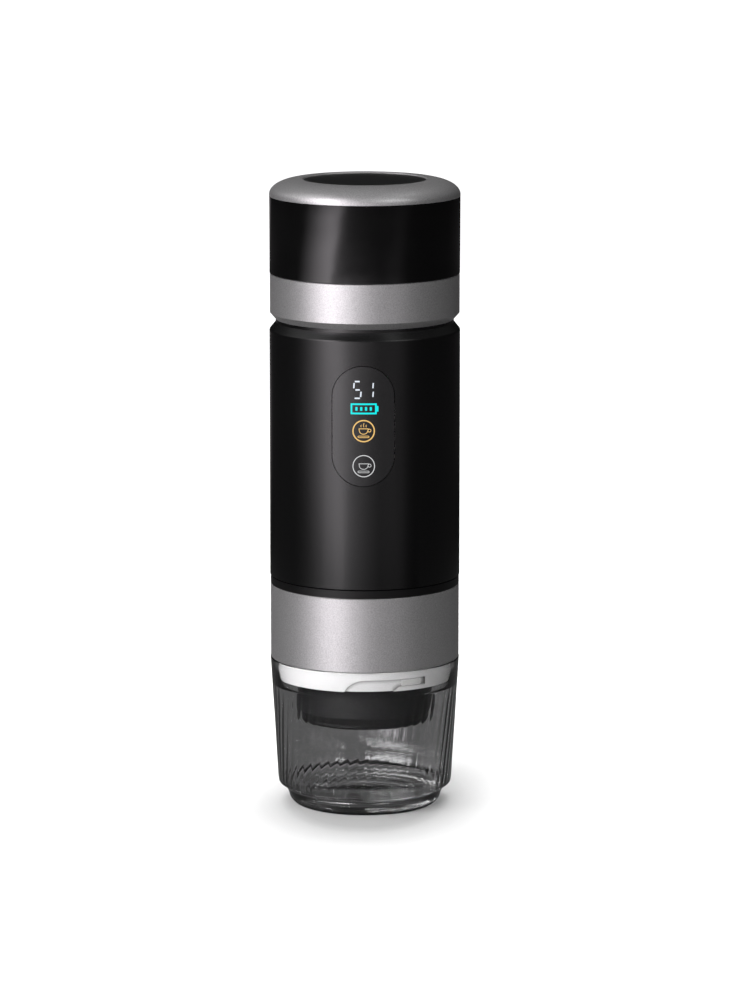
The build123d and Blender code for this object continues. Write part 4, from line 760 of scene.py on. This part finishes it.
# what mirror images show round the machine: dark cloth with soft lit panels
def makeWallFinish():
    full = stage["wallStrength"]
    cloth = makeCloth("surroundWall", full)
    x, y, z = [cloth.axis(which) for which in range(3)]
    around = x.math("ARCTAN2", y * -1.0) * (180 / math.pi)

    # turns and levels are kept between 0 and 1 inside their ramps
    span = stage["turnSpan"]
    turns = [(height, angle / span + 0.5) for height, angle in stage["turns"]]
    turned = (cloth.ramp(turns, z) - 0.5) * span
    level = cloth.ramp(stage["panelLevels"], z, 1 / stage["levelSpan"]) * stage["levelSpan"]
    front = y.math("LESS_THAN", stage["behind"])
    level = level * cloth.slide(z, stage["behindFull"], stage["behindEnd"], 1.0, 0.0).math("MAXIMUM", front)
    panels = cloth.ramp(stage["panels"], around - turned, 1 / full) * level
    sheet = cloth.ramp(stage["sheet"], around, 1 / full) * cloth.ramp(stage["sheetLevels"], z)
    tint = cloth.blend(cloth.slide(z, stage["tintFrom"], stage["tintTo"]), (1, 1, 1), stage["tint"])
    colored = cloth.node("ShaderNodeVectorMath", 0, {"operation": "SCALE"}, {0: tint, 3: panels + sheet})

    (frontPlace, frontLight), (backPlace, backLight) = stage["lowFront"], stage["lowBack"]
    low = cloth.slide(y, frontPlace, backPlace, frontLight / full, backLight / full)
    step = y.math("GREATER_THAN", stage["lowStepFrom"]) * stage["lowStep"]
    even = low * cloth.slide(z - step, stage["lowFull"], stage["lowEnd"], 1.0, 0.0)
    even = even + cloth.ramp(stage["high"], around, 1 / full) * cloth.slide(z, stage["highFrom"], stage["highTo"])
    faint = cloth.slide(z, stage["faintFrom"], stage["faintTo"], 0.0, stage["faint"] / full)
    even = even + faint * y.math("GREATER_THAN", stage["faintBehind"])
    cloth.feed("Emission Color", cloth.node("ShaderNodeVectorMath", 0, {"operation": "ADD"}, {0: colored, 1: even}))
    return cloth.material


# only mirror images and the clear cup show this piece
def hideFromView(piece, material):
    piece.data.materials.append(material)
    piece.visible_camera = False
    piece.visible_diffuse = False
    piece.visible_shadow = False


wall = drawLine("surroundWall", [
    (stage["wallRadius"] / mm, stage["wallLow"] / mm), (stage["wallRadius"] / mm, stage["wallHigh"] / mm)])
bpy.ops.mesh.select_all(action="SELECT")
bpy.ops.mesh.spin(steps=stage["sides"], angle=2 * math.pi, center=(0, 0, 0), axis=(0, 0, 1))
bpy.ops.object.mode_set(mode="OBJECT")
hideFromView(wall, makeWallFinish())

topCloth = makeCloth("topCard", stage["wallStrength"])
topCloth.feed("Emission Color", topCloth.ramp(stage["top"], topCloth.axis(0), 1 / stage["wallStrength"]))
hideFromView(makeDisc("topCard", stage["cardRadius"], stage["wallHigh"]), topCloth.material)
groundCloth = makeCloth("groundCard", stage["ground"])
hideFromView(makeDisc("groundCard", stage["cardRadius"], stage["wallLow"]), groundCloth.material)

for angle, wide, height, tall, glow in stage["panes"]:
    bpy.ops.object.select_all(action="DESELECT")
    bpy.ops.mesh.primitive_plane_add(
        size=1, location=standAt(angle, stage["paneDistance"], height),
        rotation=(math.pi / 2, 0, math.radians(angle)))
    pane = bpy.context.object
    pane.name = "windowPane"
    pane.scale = (wide, tall, 1)
    bpy.ops.object.transform_apply(location=False, rotation=False, scale=True)
    hideFromView(pane, makeCloth("windowPane", glow).material)
    pane.visible_glossy = False
print("stage set")
